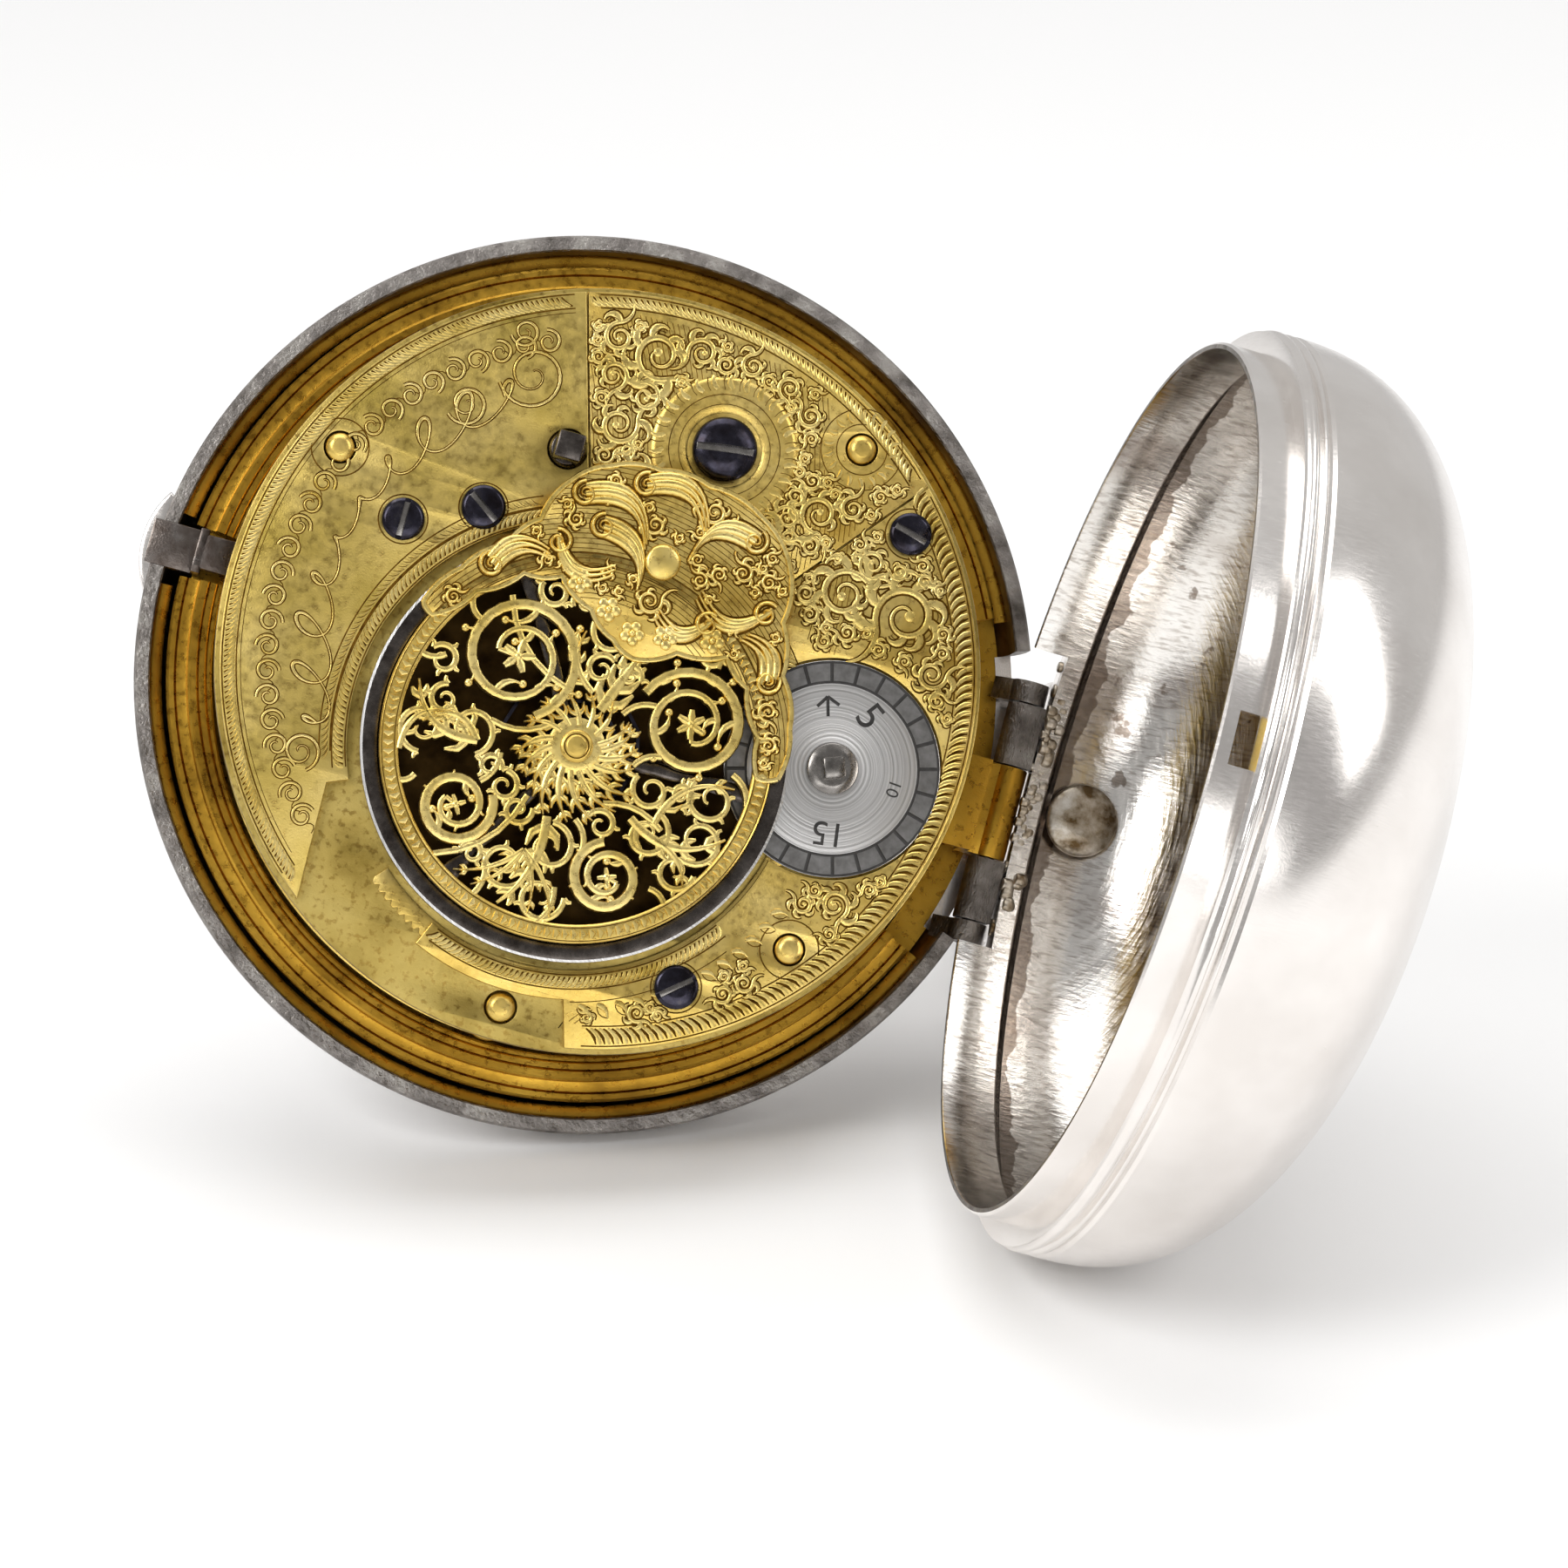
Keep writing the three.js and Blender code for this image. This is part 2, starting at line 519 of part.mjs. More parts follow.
piece("slide_plate_screw_2", screw(SLIDE_SCREWS[1], 1.35, ...plateHead, 0), BLUED);
piece("cock_screw", screw(COCK_SCREW, 2.0, COVER.z1 + 0.02, COVER.z1 + 0.95, 0), BLUED);

// ---------------------------------------------------------------- balance and escapement
function makeBalance() {
  const { x, y, r, rimWidth, z0, z1 } = BALANCE;
  const wheel = slab(circle(r, x, y), z0, z1, openings(x, y, r - rimWidth, 1.6, 3, 9));
  return cut(wheel, disc(0.47, x, y, 9, 13, 10));
}
piece("balance_wheel", makeBalance(), STEEL);

// Verge staff with its two pallets, which stand either side of the crown wheel's axis.
function makeVerge() {
  const { x, y } = BALANCE;
  const pallet = (z, angle) => block([0, 0.95], [-0.12, 0.12], [z - 0.35, z + 0.35])
    .rotate([0, 0, angle]).translate([x, y, 0]);
  return join(disc(0.42, x, y, 3.15, 11.3, 10), pallet(CROWN.z - 1.9, CROWN.heading - 55),
    pallet(CROWN.z + 1.9, CROWN.heading + 55));
}
piece("verge_staff", makeVerge(), STEEL);
piece("hairspring", slab(spiral(BALANCE.x, BALANCE.y, 1.3, 4.6, 2.5, 0.22, 12), 9.78, 10.0), BLUED);

// Crown wheel on a horizontal arbor that points from the verge to the contrate wheel's axis.
function makeCrownWheel() {
  const { z, r, wheel, pinion, end, heading } = CROWN;
  const at = (along) => [along, 0, z];
  const rim = rod(r, at(wheel - 0.5), at(wheel + 0.35), 22);
  const hollow = rod(r - 0.4, at(wheel - 2), at(wheel), 22);
  const arbor = rod(0.35, at(wheel - 0.7), at(end), 8);
  const leaves = rod(0.8, at(pinion - 0.7), at(pinion + 0.7), 8);
  return join(cut(rim, hollow), arbor, leaves)
    .rotate([0, 0, heading]).translate([BALANCE.x, BALANCE.y, 0]);
}
piece("crown_wheel", makeCrownWheel(), BRASS);

// Potence: hangs from the top plate and holds the foot of the verge.
const underPlate = TOP_PLATE.z0 - GAP;
piece("potence", join(
  block([-4.4, -3.3], [-5.8, -4.3], [2.7, underPlate]),
  block([-4.4, 0.4], [-5.8, -4.3], [2.7, 3.05]),
), BRASS);
const counterPotence = block([CROWN.end + 0.1, CROWN.end + 1.3], [-1.0, 1.0], [4.95, underPlate])
  .rotate([0, 0, CROWN.heading]).translate([BALANCE.x, BALANCE.y, 0]);
piece("counter_potence", counterPotence, BRASS);

// ---------------------------------------------------------------- going train
function wheelWithArms(x, y, r, depth, teeth, [z0, z1], arms = 4) {
  return slab(toothed(r, depth, teeth, x, y), z0, z1, openings(x, y, r - depth - 0.8, 1.7, arms, 16));
}

function makeContrate() {
  const { x, y, r } = CONTRATE;
  const rim = slab(circle(r, x, y, 28), 3.7, 4.8, [circle(r - 0.5, x, y, 28)]);
  const wheel = slab(circle(r - 0.2, x, y, 28), 3.7, 4.0, openings(x, y, r - 1.2, 1.2, 4, 18));
  const pinion = slab(toothed(1.1, 0.3, 7, x, y), LEVEL_MID[0] - 0.2, LEVEL_MID[1] + 0.4);
  return join(rim, wheel, pinion, disc(0.4, x, y, 0.85, underPlate, 10));
}
piece("contrate_wheel", makeContrate(), BRASS);

const thirdWheel = join(
  wheelWithArms(THIRD.x, THIRD.y, THIRD.r, 0.45, THIRD.teeth, LEVEL_MID),
  slab(toothed(1.05, 0.3, 7, THIRD.x, THIRD.y), LEVEL_LOW[0], LEVEL_LOW[1] + 0.2),
  disc(0.4, THIRD.x, THIRD.y, 0.85, underPlate, 10),
);
piece("third_wheel", thirdWheel, BRASS);

const centreWheel = join(
  wheelWithArms(0, 0, CENTRE.r, 0.45, CENTRE.teeth, LEVEL_LOW),
  slab(toothed(CENTRE.pinionR, 0.35, 10, 0, 0), LEVEL_LOW[1] - 0.1, LEVEL_MID[1] + 0.3),
  disc(CENTRE.arborR, 0, 0, -0.5, underPlate, 10),
);
piece("centre_wheel", centreWheel, BRASS);

// Fusee: great wheel, grooved cone and the arbor whose square takes the winding key.
function makeFusee() {
  const { x, y, greatR, baseR, tipR, square, squareTop } = FUSEE;
  const turns = 4;
  const cone = [[0, 2.2], [baseR, 2.2]];
  for (let i = 0; i < turns; i += 1) {
    const z = 2.7 + i * 1.3;
    const r = tipR + (baseR - 0.5 - tipR) * (1 - i / turns) ** 1.5;
    cone.push([r, z], [r, z + 0.95], [r + 0.35, z + 1.1]);
  }
  cone.push([tipR - 0.4, 8.05], [0, 8.05]);
  const great = slab(toothed(greatR, 0.5, 36, x, y), LEVEL_MID[0], LEVEL_MID[1] + 0.1);
  const half = square / 2;
  return join(great, turned(cone, x, y, 16), disc(0.5, x, y, 0.85, 2, 10), disc(1.1, x, y, 8, 10.4),
    block([x - half, x + half], [y - half, y + half], [10.3, squareTop]));
}
piece("fusee", makeFusee(), BRASS);

function makeBarrel() {
  const { x, y, r, z0, z1 } = BARREL;
  const cup = turned([
    [0, z0], [r, z0], [r, z1 - 0.6], [r - 0.5, z1 - 0.6], [r - 0.5, z0 + 0.5], [0, z0 + 0.5],
  ], x, y, 28);
  return cut(cup, disc(0.8, x, y, 0, 9, 12));
}
piece("barrel", makeBarrel(), BRASS);
piece("barrel_cover", slab(circle(BARREL.r, BARREL.x, BARREL.y, 28), BARREL.z1 - 0.5, BARREL.z1,
  [circle(0.8, BARREL.x, BARREL.y, 12)]), BRASS);
piece("barrel_arbor", join(
  disc(0.65, BARREL.x, BARREL.y, 0.85, underPlate, 12),
  disc(1.6, BARREL.x, BARREL.y, 2.1, 7.3),
), STEEL);
piece("mainspring", slab(spiral(BARREL.x, BARREL.y, 2.2, 6.1, 3, 0.3, 10), 2.3, 7.1), STEEL);

// Fusee chain: half a turn on the barrel, a straight run and a quarter turn on the fusee.
function makeChain() {
  const drum = { x: BARREL.x, y: BARREL.y, r: BARREL.r + 0.35 };
  const cone = { x: FUSEE.x, y: FUSEE.y, r: 4.05 };
  const [dx, dy] = [cone.x - drum.x, cone.y - drum.y];
  const heading = THREE.MathUtils.radToDeg(Math.atan2(dy, dx));
  const lean = THREE.MathUtils.radToDeg(Math.acos((drum.r - cone.r) / Math.hypot(dx, dy)));
  const touch = heading + lean;
  const side = (offset) => [
    ...arc(drum.x, drum.y, drum.r + offset, touch + 150, touch, 12),
    ...arc(cone.x, cone.y, cone.r + offset, touch, touch - 60, 6),
  ];
  return slab([...side(0.22), ...side(-0.22).reverse()], 6.55, 7.15);
}
piece("fusee_chain", makeChain(), STEEL);

// ---------------------------------------------------------------- motion work under the dial
const MOTION_CENTRE = 5.2; // from the hands' axis to the minute wheel's
const cannon = slab(toothed(1.27, 0.25, 8, 0, 0), -0.95, -0.6);
piece("cannon_pinion", join(cannon, disc(0.7, 0, 0, -3.4, -0.6, 12)), STEEL);
piece("minute_wheel", join(
  slab(toothed(3.85, 0.3, 24, MOTION_CENTRE, 0), -0.95, -0.6),
  slab(toothed(1.0, 0.25, 10, MOTION_CENTRE, 0), -1.45, -0.9),
), BRASS);
piece("hour_wheel", join(
  slab(toothed(4.1, 0.3, 26, 0, 0), -1.45, -1.1, [circle(0.8, 0, 0, 10)]),
  slab(circle(1.25, 0, 0, 10), -2.9, -1.3, [circle(0.8, 0, 0, 10)]),
), BRASS);

// ---------------------------------------------------------------- regulation
function makeRegulatorDisc() {
  const { x, y, r, z0, z1 } = REGULATOR;
  return slab(circle(r, x, y, 32), z0, z1, [circle(0.85, x, y, 12)]);
}
piece("regulator_disc", makeRegulatorDisc(), SILVERED);

function makeRegulatorArbor() {
  const { x, y, z0, z1, pinionR } = REGULATOR;
  return join(
    disc(0.75, x, y, TOP_PLATE.z0, z1 + 0.1, 12),
    slab(toothed(pinionR - 0.05, 0.25, 10, x, y), TOP_PLATE.z1 + 0.06, z0 - 0.06),
    disc(1.6, x, y, z1 + 0.04, z1 + 0.35),
    block([x - 0.65, x + 0.65], [y - 0.65, y + 0.65], [z1 + 0.3, z1 + 1.4]),
  );
}
piece("regulator_arbor", makeRegulatorArbor(), STEEL);

const rackArc = ringPart(BALANCE.x, BALANCE.y, RACK.outer, RACK.inner, RACK.from, RACK.to, 28);
piece("rack_ring", slab(rackArc, RACK.z0, RACK.z1), GILT);

// ---------------------------------------------------------------- bolt at VI
piece("bolt", join(
  block([BOLT.tip, -24.8], [BOLT.y0, BOLT.y1], [-0.75, 0.1]),
  block([-25.4, -24.8], [BOLT.y0, BOLT.y1], [-0.75, 1.6]),
  block([-25.4, BOLT.heel], [BOLT.y0 + 0.3, BOLT.y1 - 0.3], [0.9, 1.6]),
), STEEL);
piece("bolt_spring", slab(ringPart(0, 0, 21.4, 21.1, 170, 205, 10), 0.85, 1.25), STEEL);

// ---------------------------------------------------------------- standing pose
// Directions of the world's axes in the movement's frame.
const UP = new THREE.Vector3(-0.30439, 0.84365, 0.44227).normalize();
const RIGHT = new THREE.Vector3(0.96025, 0.25595, 0.11145);
RIGHT.addScaledVector(UP, -RIGHT.dot(UP)).normalize();
const AWAY = new THREE.Vector3().crossVectors(UP, RIGHT);
const stance = new THREE.Matrix4().makeBasis(RIGHT, AWAY, UP).transpose();
watch.setRotationFromMatrix(stance);

// The origin is on the ground, under the middle of the watch's bounding box.
watch.updateMatrixWorld(true);
const bounds = new THREE.Box3().setFromObject(watch, true);
const middle = bounds.getCenter(new THREE.Vector3());
watch.position.set(-middle.x, -middle.y, -bounds.min.z);

export default watch;
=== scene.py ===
"""Looks of the silver hunter pocket watch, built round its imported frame.

Pieces are drawn in millimetres in the movement's own frame: the origin is the middle of the front
cover's rim, +X points to the case hinge, +Z points out of the back. TO_ROW puts them in the row frame.
Pieces of the bowl and the bow are drawn as if the case were shut and then opened by the hinge's angle.
"""

import json
import math
import random

import bmesh
import bpy
from mathutils import Matrix, Vector

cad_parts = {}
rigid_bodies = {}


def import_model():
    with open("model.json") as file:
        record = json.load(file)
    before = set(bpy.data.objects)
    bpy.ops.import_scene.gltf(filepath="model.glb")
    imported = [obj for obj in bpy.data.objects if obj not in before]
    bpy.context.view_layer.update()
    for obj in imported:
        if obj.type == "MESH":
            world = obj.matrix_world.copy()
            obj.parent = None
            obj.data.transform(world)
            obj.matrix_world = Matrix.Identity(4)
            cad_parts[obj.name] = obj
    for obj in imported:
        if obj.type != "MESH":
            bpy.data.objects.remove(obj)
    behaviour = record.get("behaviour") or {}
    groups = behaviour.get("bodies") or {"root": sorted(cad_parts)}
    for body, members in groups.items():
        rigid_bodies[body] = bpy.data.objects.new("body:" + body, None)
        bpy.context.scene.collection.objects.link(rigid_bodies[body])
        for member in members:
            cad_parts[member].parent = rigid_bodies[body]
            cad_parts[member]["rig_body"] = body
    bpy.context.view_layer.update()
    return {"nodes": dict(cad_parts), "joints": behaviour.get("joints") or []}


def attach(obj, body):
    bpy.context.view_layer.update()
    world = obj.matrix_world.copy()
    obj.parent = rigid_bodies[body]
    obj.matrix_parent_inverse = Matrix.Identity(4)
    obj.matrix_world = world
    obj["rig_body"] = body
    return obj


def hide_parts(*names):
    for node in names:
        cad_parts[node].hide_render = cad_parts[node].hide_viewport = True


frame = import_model()
random.seed(7)

# ---------------------------------------------------------------- the watch's own frame
joints = {j["name"]: j for j in frame["joints"]}
OUT_OF_BACK = Vector(joints["train_spin"]["axis"]).normalized()
ALONG_HINGE = Vector(joints["case_hinge"]["axis"]).normalized()
TO_HINGE = ALONG_HINGE.cross(OUT_OF_BACK).normalized()
CENTRE = Vector(joints["centre_spin"]["pos_m"])
MM = 0.001

HINGE = Vector((26.97, 0.0, -0.95))
OPEN = math.radians(-joints["case_hinge"]["range_deg"][0])
KNOB = Vector((34.3, 0.0, 4.2))

TO_ROW = Matrix.Translation(CENTRE) @ Matrix((
    (TO_HINGE.x, ALONG_HINGE.x, OUT_OF_BACK.x, 0),
    (TO_HINGE.y, ALONG_HINGE.y, OUT_OF_BACK.y, 0),
    (TO_HINGE.z, ALONG_HINGE.z, OUT_OF_BACK.z, 0),
    (0, 0, 0, 1),
)) @ Matrix.Scale(MM, 4)
OPENED = Matrix.Translation(HINGE) @ Matrix.Rotation(OPEN, 4, "Y") @ Matrix.Translation(-HINGE)

# ---------------------------------------------------------------- driving sizes, in millimetres
BALANCE = Vector((-0.3, -5.05, 0))
REG = Vector((15.15, -2.1, 0))
HUB = (BALANCE.x, BALANCE.y)
DISC = (REG.x, REG.y)
FUSEE = Vector((-5.4, 12.4, 0))
BARREL = Vector((-13.5, -7.5, 0))
THIRD = (5.59, -6.13)
TABLE_R, COVER_R = 11.9, 23.0
TABLE_Z, COVER_Z = (11.35, 12.05), (9.65, 10.25)
NAME_BORE, FOOT_BORE, DISC_BORE, RAIL_R = 13.75, 13.6, 6.75, 15.2
PILLARS = [(-18.7, 8.8, 10.6), (11.9, 17.2, 10.65), (-0.5, -21.3, 10.05), (15.45, -13.4, 10.6)]
NAME_SCREWS, SLIDE_SCREWS, COCK_SCREW = ((-13.9, 5.6), (-9.4, 7.6)), ((16.1, 13.0), (9.4, -17.4)), (3.8,
                                                                                                    14.9)
PIN_HOLE, SCREW_HOLE = 1.0, 0.75
NAME_CUT = ((-6.75, 22.1), (-2.8, 8.0))
SLIDE_CUT = ((16.2, 15.8), (10.5, 9.0))
ENGRAVE_LIFT = 0.014
INSET = 0.945
SCROLL_SIZES = (2.9, 2.3, 1.8, 1.4, 1.1, 0.85, 0.65, 0.5)
# material slots of the engraved plates: 1 is the lighter gilding of painted highlight, 2 the dark painted
# shade of the cuts
PAINTED_HIGHLIGHT, GROOVE_SHADE = 1, 2
FULL_TURN = 2 * math.pi

# ---------------------------------------------------------------- camera and light
CAMERA_RIGHT = Vector((0.96024503, 0.25594763, 0.11144638))
CAMERA_UP = Vector((-0.26422589, 0.9621311, 0.06699565))
CAMERA_SPOT = Vector((-28.162, -46.159, 458.469))
CAMERA_DEGREES = 12
WORLD_FRONT, WORLD_BACK = 0.38, 0.60
LIGHTS = (
    ("key_left", (-0.32, -0.30, 0.42), (0.26, 0.26), 1.7),
    ("fill_right", (0.42, -0.18, 0.30), (0.20, 0.36), 0.75),
    ("top", (0.0, 0.10, 0.55), (0.5, 0.35), 1.3),
    ("front_low", (0.05, -0.5, 0.10), (0.40, 0.12), 0.4),
)


# ---------------------------------------------------------------- materials
class Nodes:
    """A short way to write a node material."""

    def __init__(self, name):
        self.mat = bpy.data.materials.new(name)
        self.mat.use_nodes = True
        self.tree = self.mat.node_tree
        self.bsdf = self.tree.nodes["Principled BSDF"]

    def set(self, socket, value):
        """Links a socket or gives it a fixed value; a colour needs no alpha."""
        if isinstance(value, bpy.types.NodeSocket):
            self.tree.links.new(value, socket)
        elif isinstance(value, tuple) and len(value) < len(socket.default_value):
            socket.default_value = (*value, 1)
        else:
            socket.default_value = value

    def node(self, kind, inputs, **settings):
        made = self.tree.nodes.new(kind)
        for key, value in settings.items():
            setattr(made, key, value)
        for key, value in inputs.items():
            self.set(made.inputs[key], value)
        return made

    def coords(self):
        return self.node("ShaderNodeAttribute", {}, attribute_name="mm").outputs["Vector"]

    def noise(self, scale, detail=4, stretch=None, rough=0.55):
        at = self.coords()
        if stretch:
            at = self.node("ShaderNodeVectorMath", {0: at, 1: stretch}, operation="MULTIPLY").outputs[0]
        return self.node("ShaderNodeTexNoise", {
            "Vector": at, "Scale": scale, "Detail": detail, "Roughness": rough}).outputs["Fac"]

    def rings(self, centre, scale, detail):
        """Noise that changes only with the distance from an axis along Z, like the marks of a lathe."""
        apart = [self.value("SUBTRACT", self.axis(i), centre[i]) for i in range(2)]
        squares = [self.value("MULTIPLY", side, side) for side in apart]
        radius = self.value("SQRT", self.value("ADD", *squares))
        return self.node("ShaderNodeTexNoise", {
            "W": radius, "Scale": scale, "Detail": detail}, noise_dimensions="1D").outputs["Fac"]

    def axis(self, index):
        return self.node("ShaderNodeSeparateXYZ", {0: self.coords()}).outputs[index]

    def ramp(self, fac, *stops):
        made = self.node("ShaderNodeValToRGB", {0: fac})
        ramp = made.color_ramp
        while len(ramp.elements) < len(stops):
            ramp.elements.new(0.5)
        for element, (at, colour) in zip(ramp.elements, stops):
            element.position = at
            element.color = (*colour, 1)
        return made.outputs[0]

    def mix(self, fac, a, b, blend="MIX"):
        return self.node("ShaderNodeMix", {0: fac, 6: a, 7: b}, data_type="RGBA",
                         blend_type=blend).outputs[2]

    def value(self, operation, a, b=0.0):
        return self.node("ShaderNodeMath", {0: a, 1: b}, operation=operation).outputs[0]

    def span(self, value, low, high, to_low=0.0, to_high=1.0):
        return self.node("ShaderNodeMapRange", {
            "Value": value, "From Min": low, "From Max": high, "To Min": to_low,
            "To Max": to_high}).outputs[0]

    def gloss(self, fac, smooth, dull):
        """Roughness that follows a noise."""
        return self.span(fac, 0.3, 0.7, smooth, dull)

    def bump(self, height, strength, distance=0.00005):
        made = self.node("ShaderNodeBump", {"Strength": strength, "Distance": distance, "Height": height})
        self.set(self.bsdf.inputs["Normal"], made.outputs[0])

    def out(self, colour, rough, metal=1.0, **fixed):
        self.set(self.bsdf.inputs["Base Color"], colour)
        self.set(self.bsdf.inputs["Roughness"], rough)
        self.bsdf.inputs["Metallic"].default_value = metal
        for key, number in fixed.items():
            self.bsdf.inputs[key.replace("_", " ")].default_value = number
        return self.mat


WHITE = (1, 1, 1)


def gilt(name, light, mid, dark, grain=1.0, rough=(0.24, 0.42), wear=0.5):
    """Gilding with patches, dark specks and a fine grain."""
    m = Nodes(name)
    patches, fine = m.noise(0.22 * grain, 5), m.noise(2.6 * grain, 6)
    colour = m.ramp(patches, (0.3, dark), (0.48, mid), (0.7, light))
    specks = m.ramp(fine, (0.36, (0.35, 0.22, 0.05)), (0.47, WHITE), (1.0, WHITE))
    colour = m.mix(wear, colour, m.mix(1.0, colour, specks, "MULTIPLY"))
    m.bump(m.noise(9.0, 8), 0.25)
    return m.out(colour, m.gloss(fine, *rough))


def clouded(name, noise, *stops, rough, metal=1.0, **fixed):
    """One noise for the colour, and a fixed roughness or a finer noise for it."""
    m = Nodes(name)
    colour = m.ramp(m.noise(*noise), *stops)
    if isinstance(rough, tuple):
        scale, detail, smooth, dull = rough
        rough = m.gloss(m.noise(scale, detail), smooth, dull)
    return m.out(colour, rough, metal, **fixed)


def polished_silver():
    m = Nodes("polished_silver")
    scratch = m.noise(1.4, 5, stretch=(1.0, 9.0, 1.0))
    colour = m.ramp(m.noise(0.12), (0.3, (0.76, 0.72, 0.685)), (0.7, (0.90, 0.865, 0.835)))
    m.bump(m.noise(6.0, 6), 0.06)
    return m.out(colour, m.span(scratch, 0.3, 0.75, 0.15, 0.28))


def scratched_silver():
    """The bowl's inside: scratched, darker in a ragged brown band and a black line just above its ledge:
    painted shade of the ledge's undercut, with dirt in the joint.
    """
    m = Nodes("scratched_silver_inside")
    lines = m.noise(1.0, 6, stretch=(0.35, 5.0, 1.0))
    cross = m.noise(0.9, 6, stretch=(6.0, 0.5, 1.0))
    colour = m.ramp(m.noise(0.16, 5), (0.32, (0.52, 0.47, 0.43)), (0.5, (0.80, 0.77, 0.73)),
                    (0.75, (0.9, 0.88, 0.85)))
    dirt = m.ramp(lines, (0.35, (0.45, 0.4, 0.36)), (0.5, WHITE))
    colour = m.mix(0.6, colour, m.mix(1.0, colour, dirt, "MULTIPLY"))
    height = m.axis(2)
    # painted shade with dirt: two ragged layers darken the dome just above the ledge
    near_ledge, above_lip = m.span(height, 3.3, 1.6), m.span(height, 1.35, 1.5)
    for noise, spread, stops, dark in (
            ((0.4, 7), 1.5, ((0.95, (0, 0, 0)), (1.5, (0.75, 0.75, 0.75))), (0.16, 0.11, 0.075)),
            ((0.8, 8), 1.1, ((1.12, (0, 0, 0)), (1.3, WHITE)), (0.035, 0.024, 0.018))):
        ragged = m.value("ADD", near_ledge, m.value("MULTIPLY", m.noise(*noise), spread))
        colour = m.mix(m.ramp(m.value("MULTIPLY", ragged, above_lip), *stops), colour, dark)
    m.bump(m.value("ADD", lines, cross), 0.16, 0.0001)
    return m.out(colour, m.gloss(cross, 0.08, 0.26))


def worn_silver():
    m = Nodes("worn_silver_rim")
    files = m.noise(3.0, 6, stretch=(1.0, 1.0, 4.0))
    colour = m.ramp(m.noise(0.5, 6), (0.3, (0.10, 0.09, 0.08)), (0.5, (0.24, 0.22, 0.205)),
                    (0.75, (0.42, 0.40, 0.37)))
    m.bump(m.value("ADD", files, m.noise(1.2, 8)), 0.7, 0.00015)
    return m.out(colour, m.gloss(files, 0.26, 0.5))


def ground_steel():
    m = Nodes("ground_steel")
    cloud = m.noise(0.8, 6)
    colour = m.ramp(cloud, (0.3, (0.06, 0.042, 0.032)), (0.55, (0.17, 0.145, 0.13)),
                    (0.8, (0.33, 0.30, 0.28)))
    m.bump(m.noise(7.0, 8), 0.4)
    return m.out(colour, m.gloss(cloud, 0.38, 0.24))


def silvered_disc():
    m = Nodes("silvered_disc")
    rings = m.rings(DISC, 7.0, 6)
    m.bump(rings, 0.35)
    return m.out(m.ramp(rings, (0.3, (0.46, 0.45, 0.44)), (0.7, (0.74, 0.73, 0.72))), 0.36)


def solder_blob():
    m = Nodes("solder_blob")
    colour = m.ramp(m.noise(0.9, 6), (0.35, (0.13, 0.085, 0.04)), (0.5, (0.42, 0.36, 0.28)),
                    (0.7, (0.66, 0.62, 0.56)))
    m.bump(m.noise(2.2, 6), 0.7, 0.0001)
    return m.out(colour, 0.34)


def watch_glass():
    m = Nodes("watch_glass")
    return m.out((0.97, 0.985, 0.985), m.gloss(m.noise(0.6), 0.02, 0.06), 0.0, Transmission_Weight=1.0,
                 IOR=1.5)


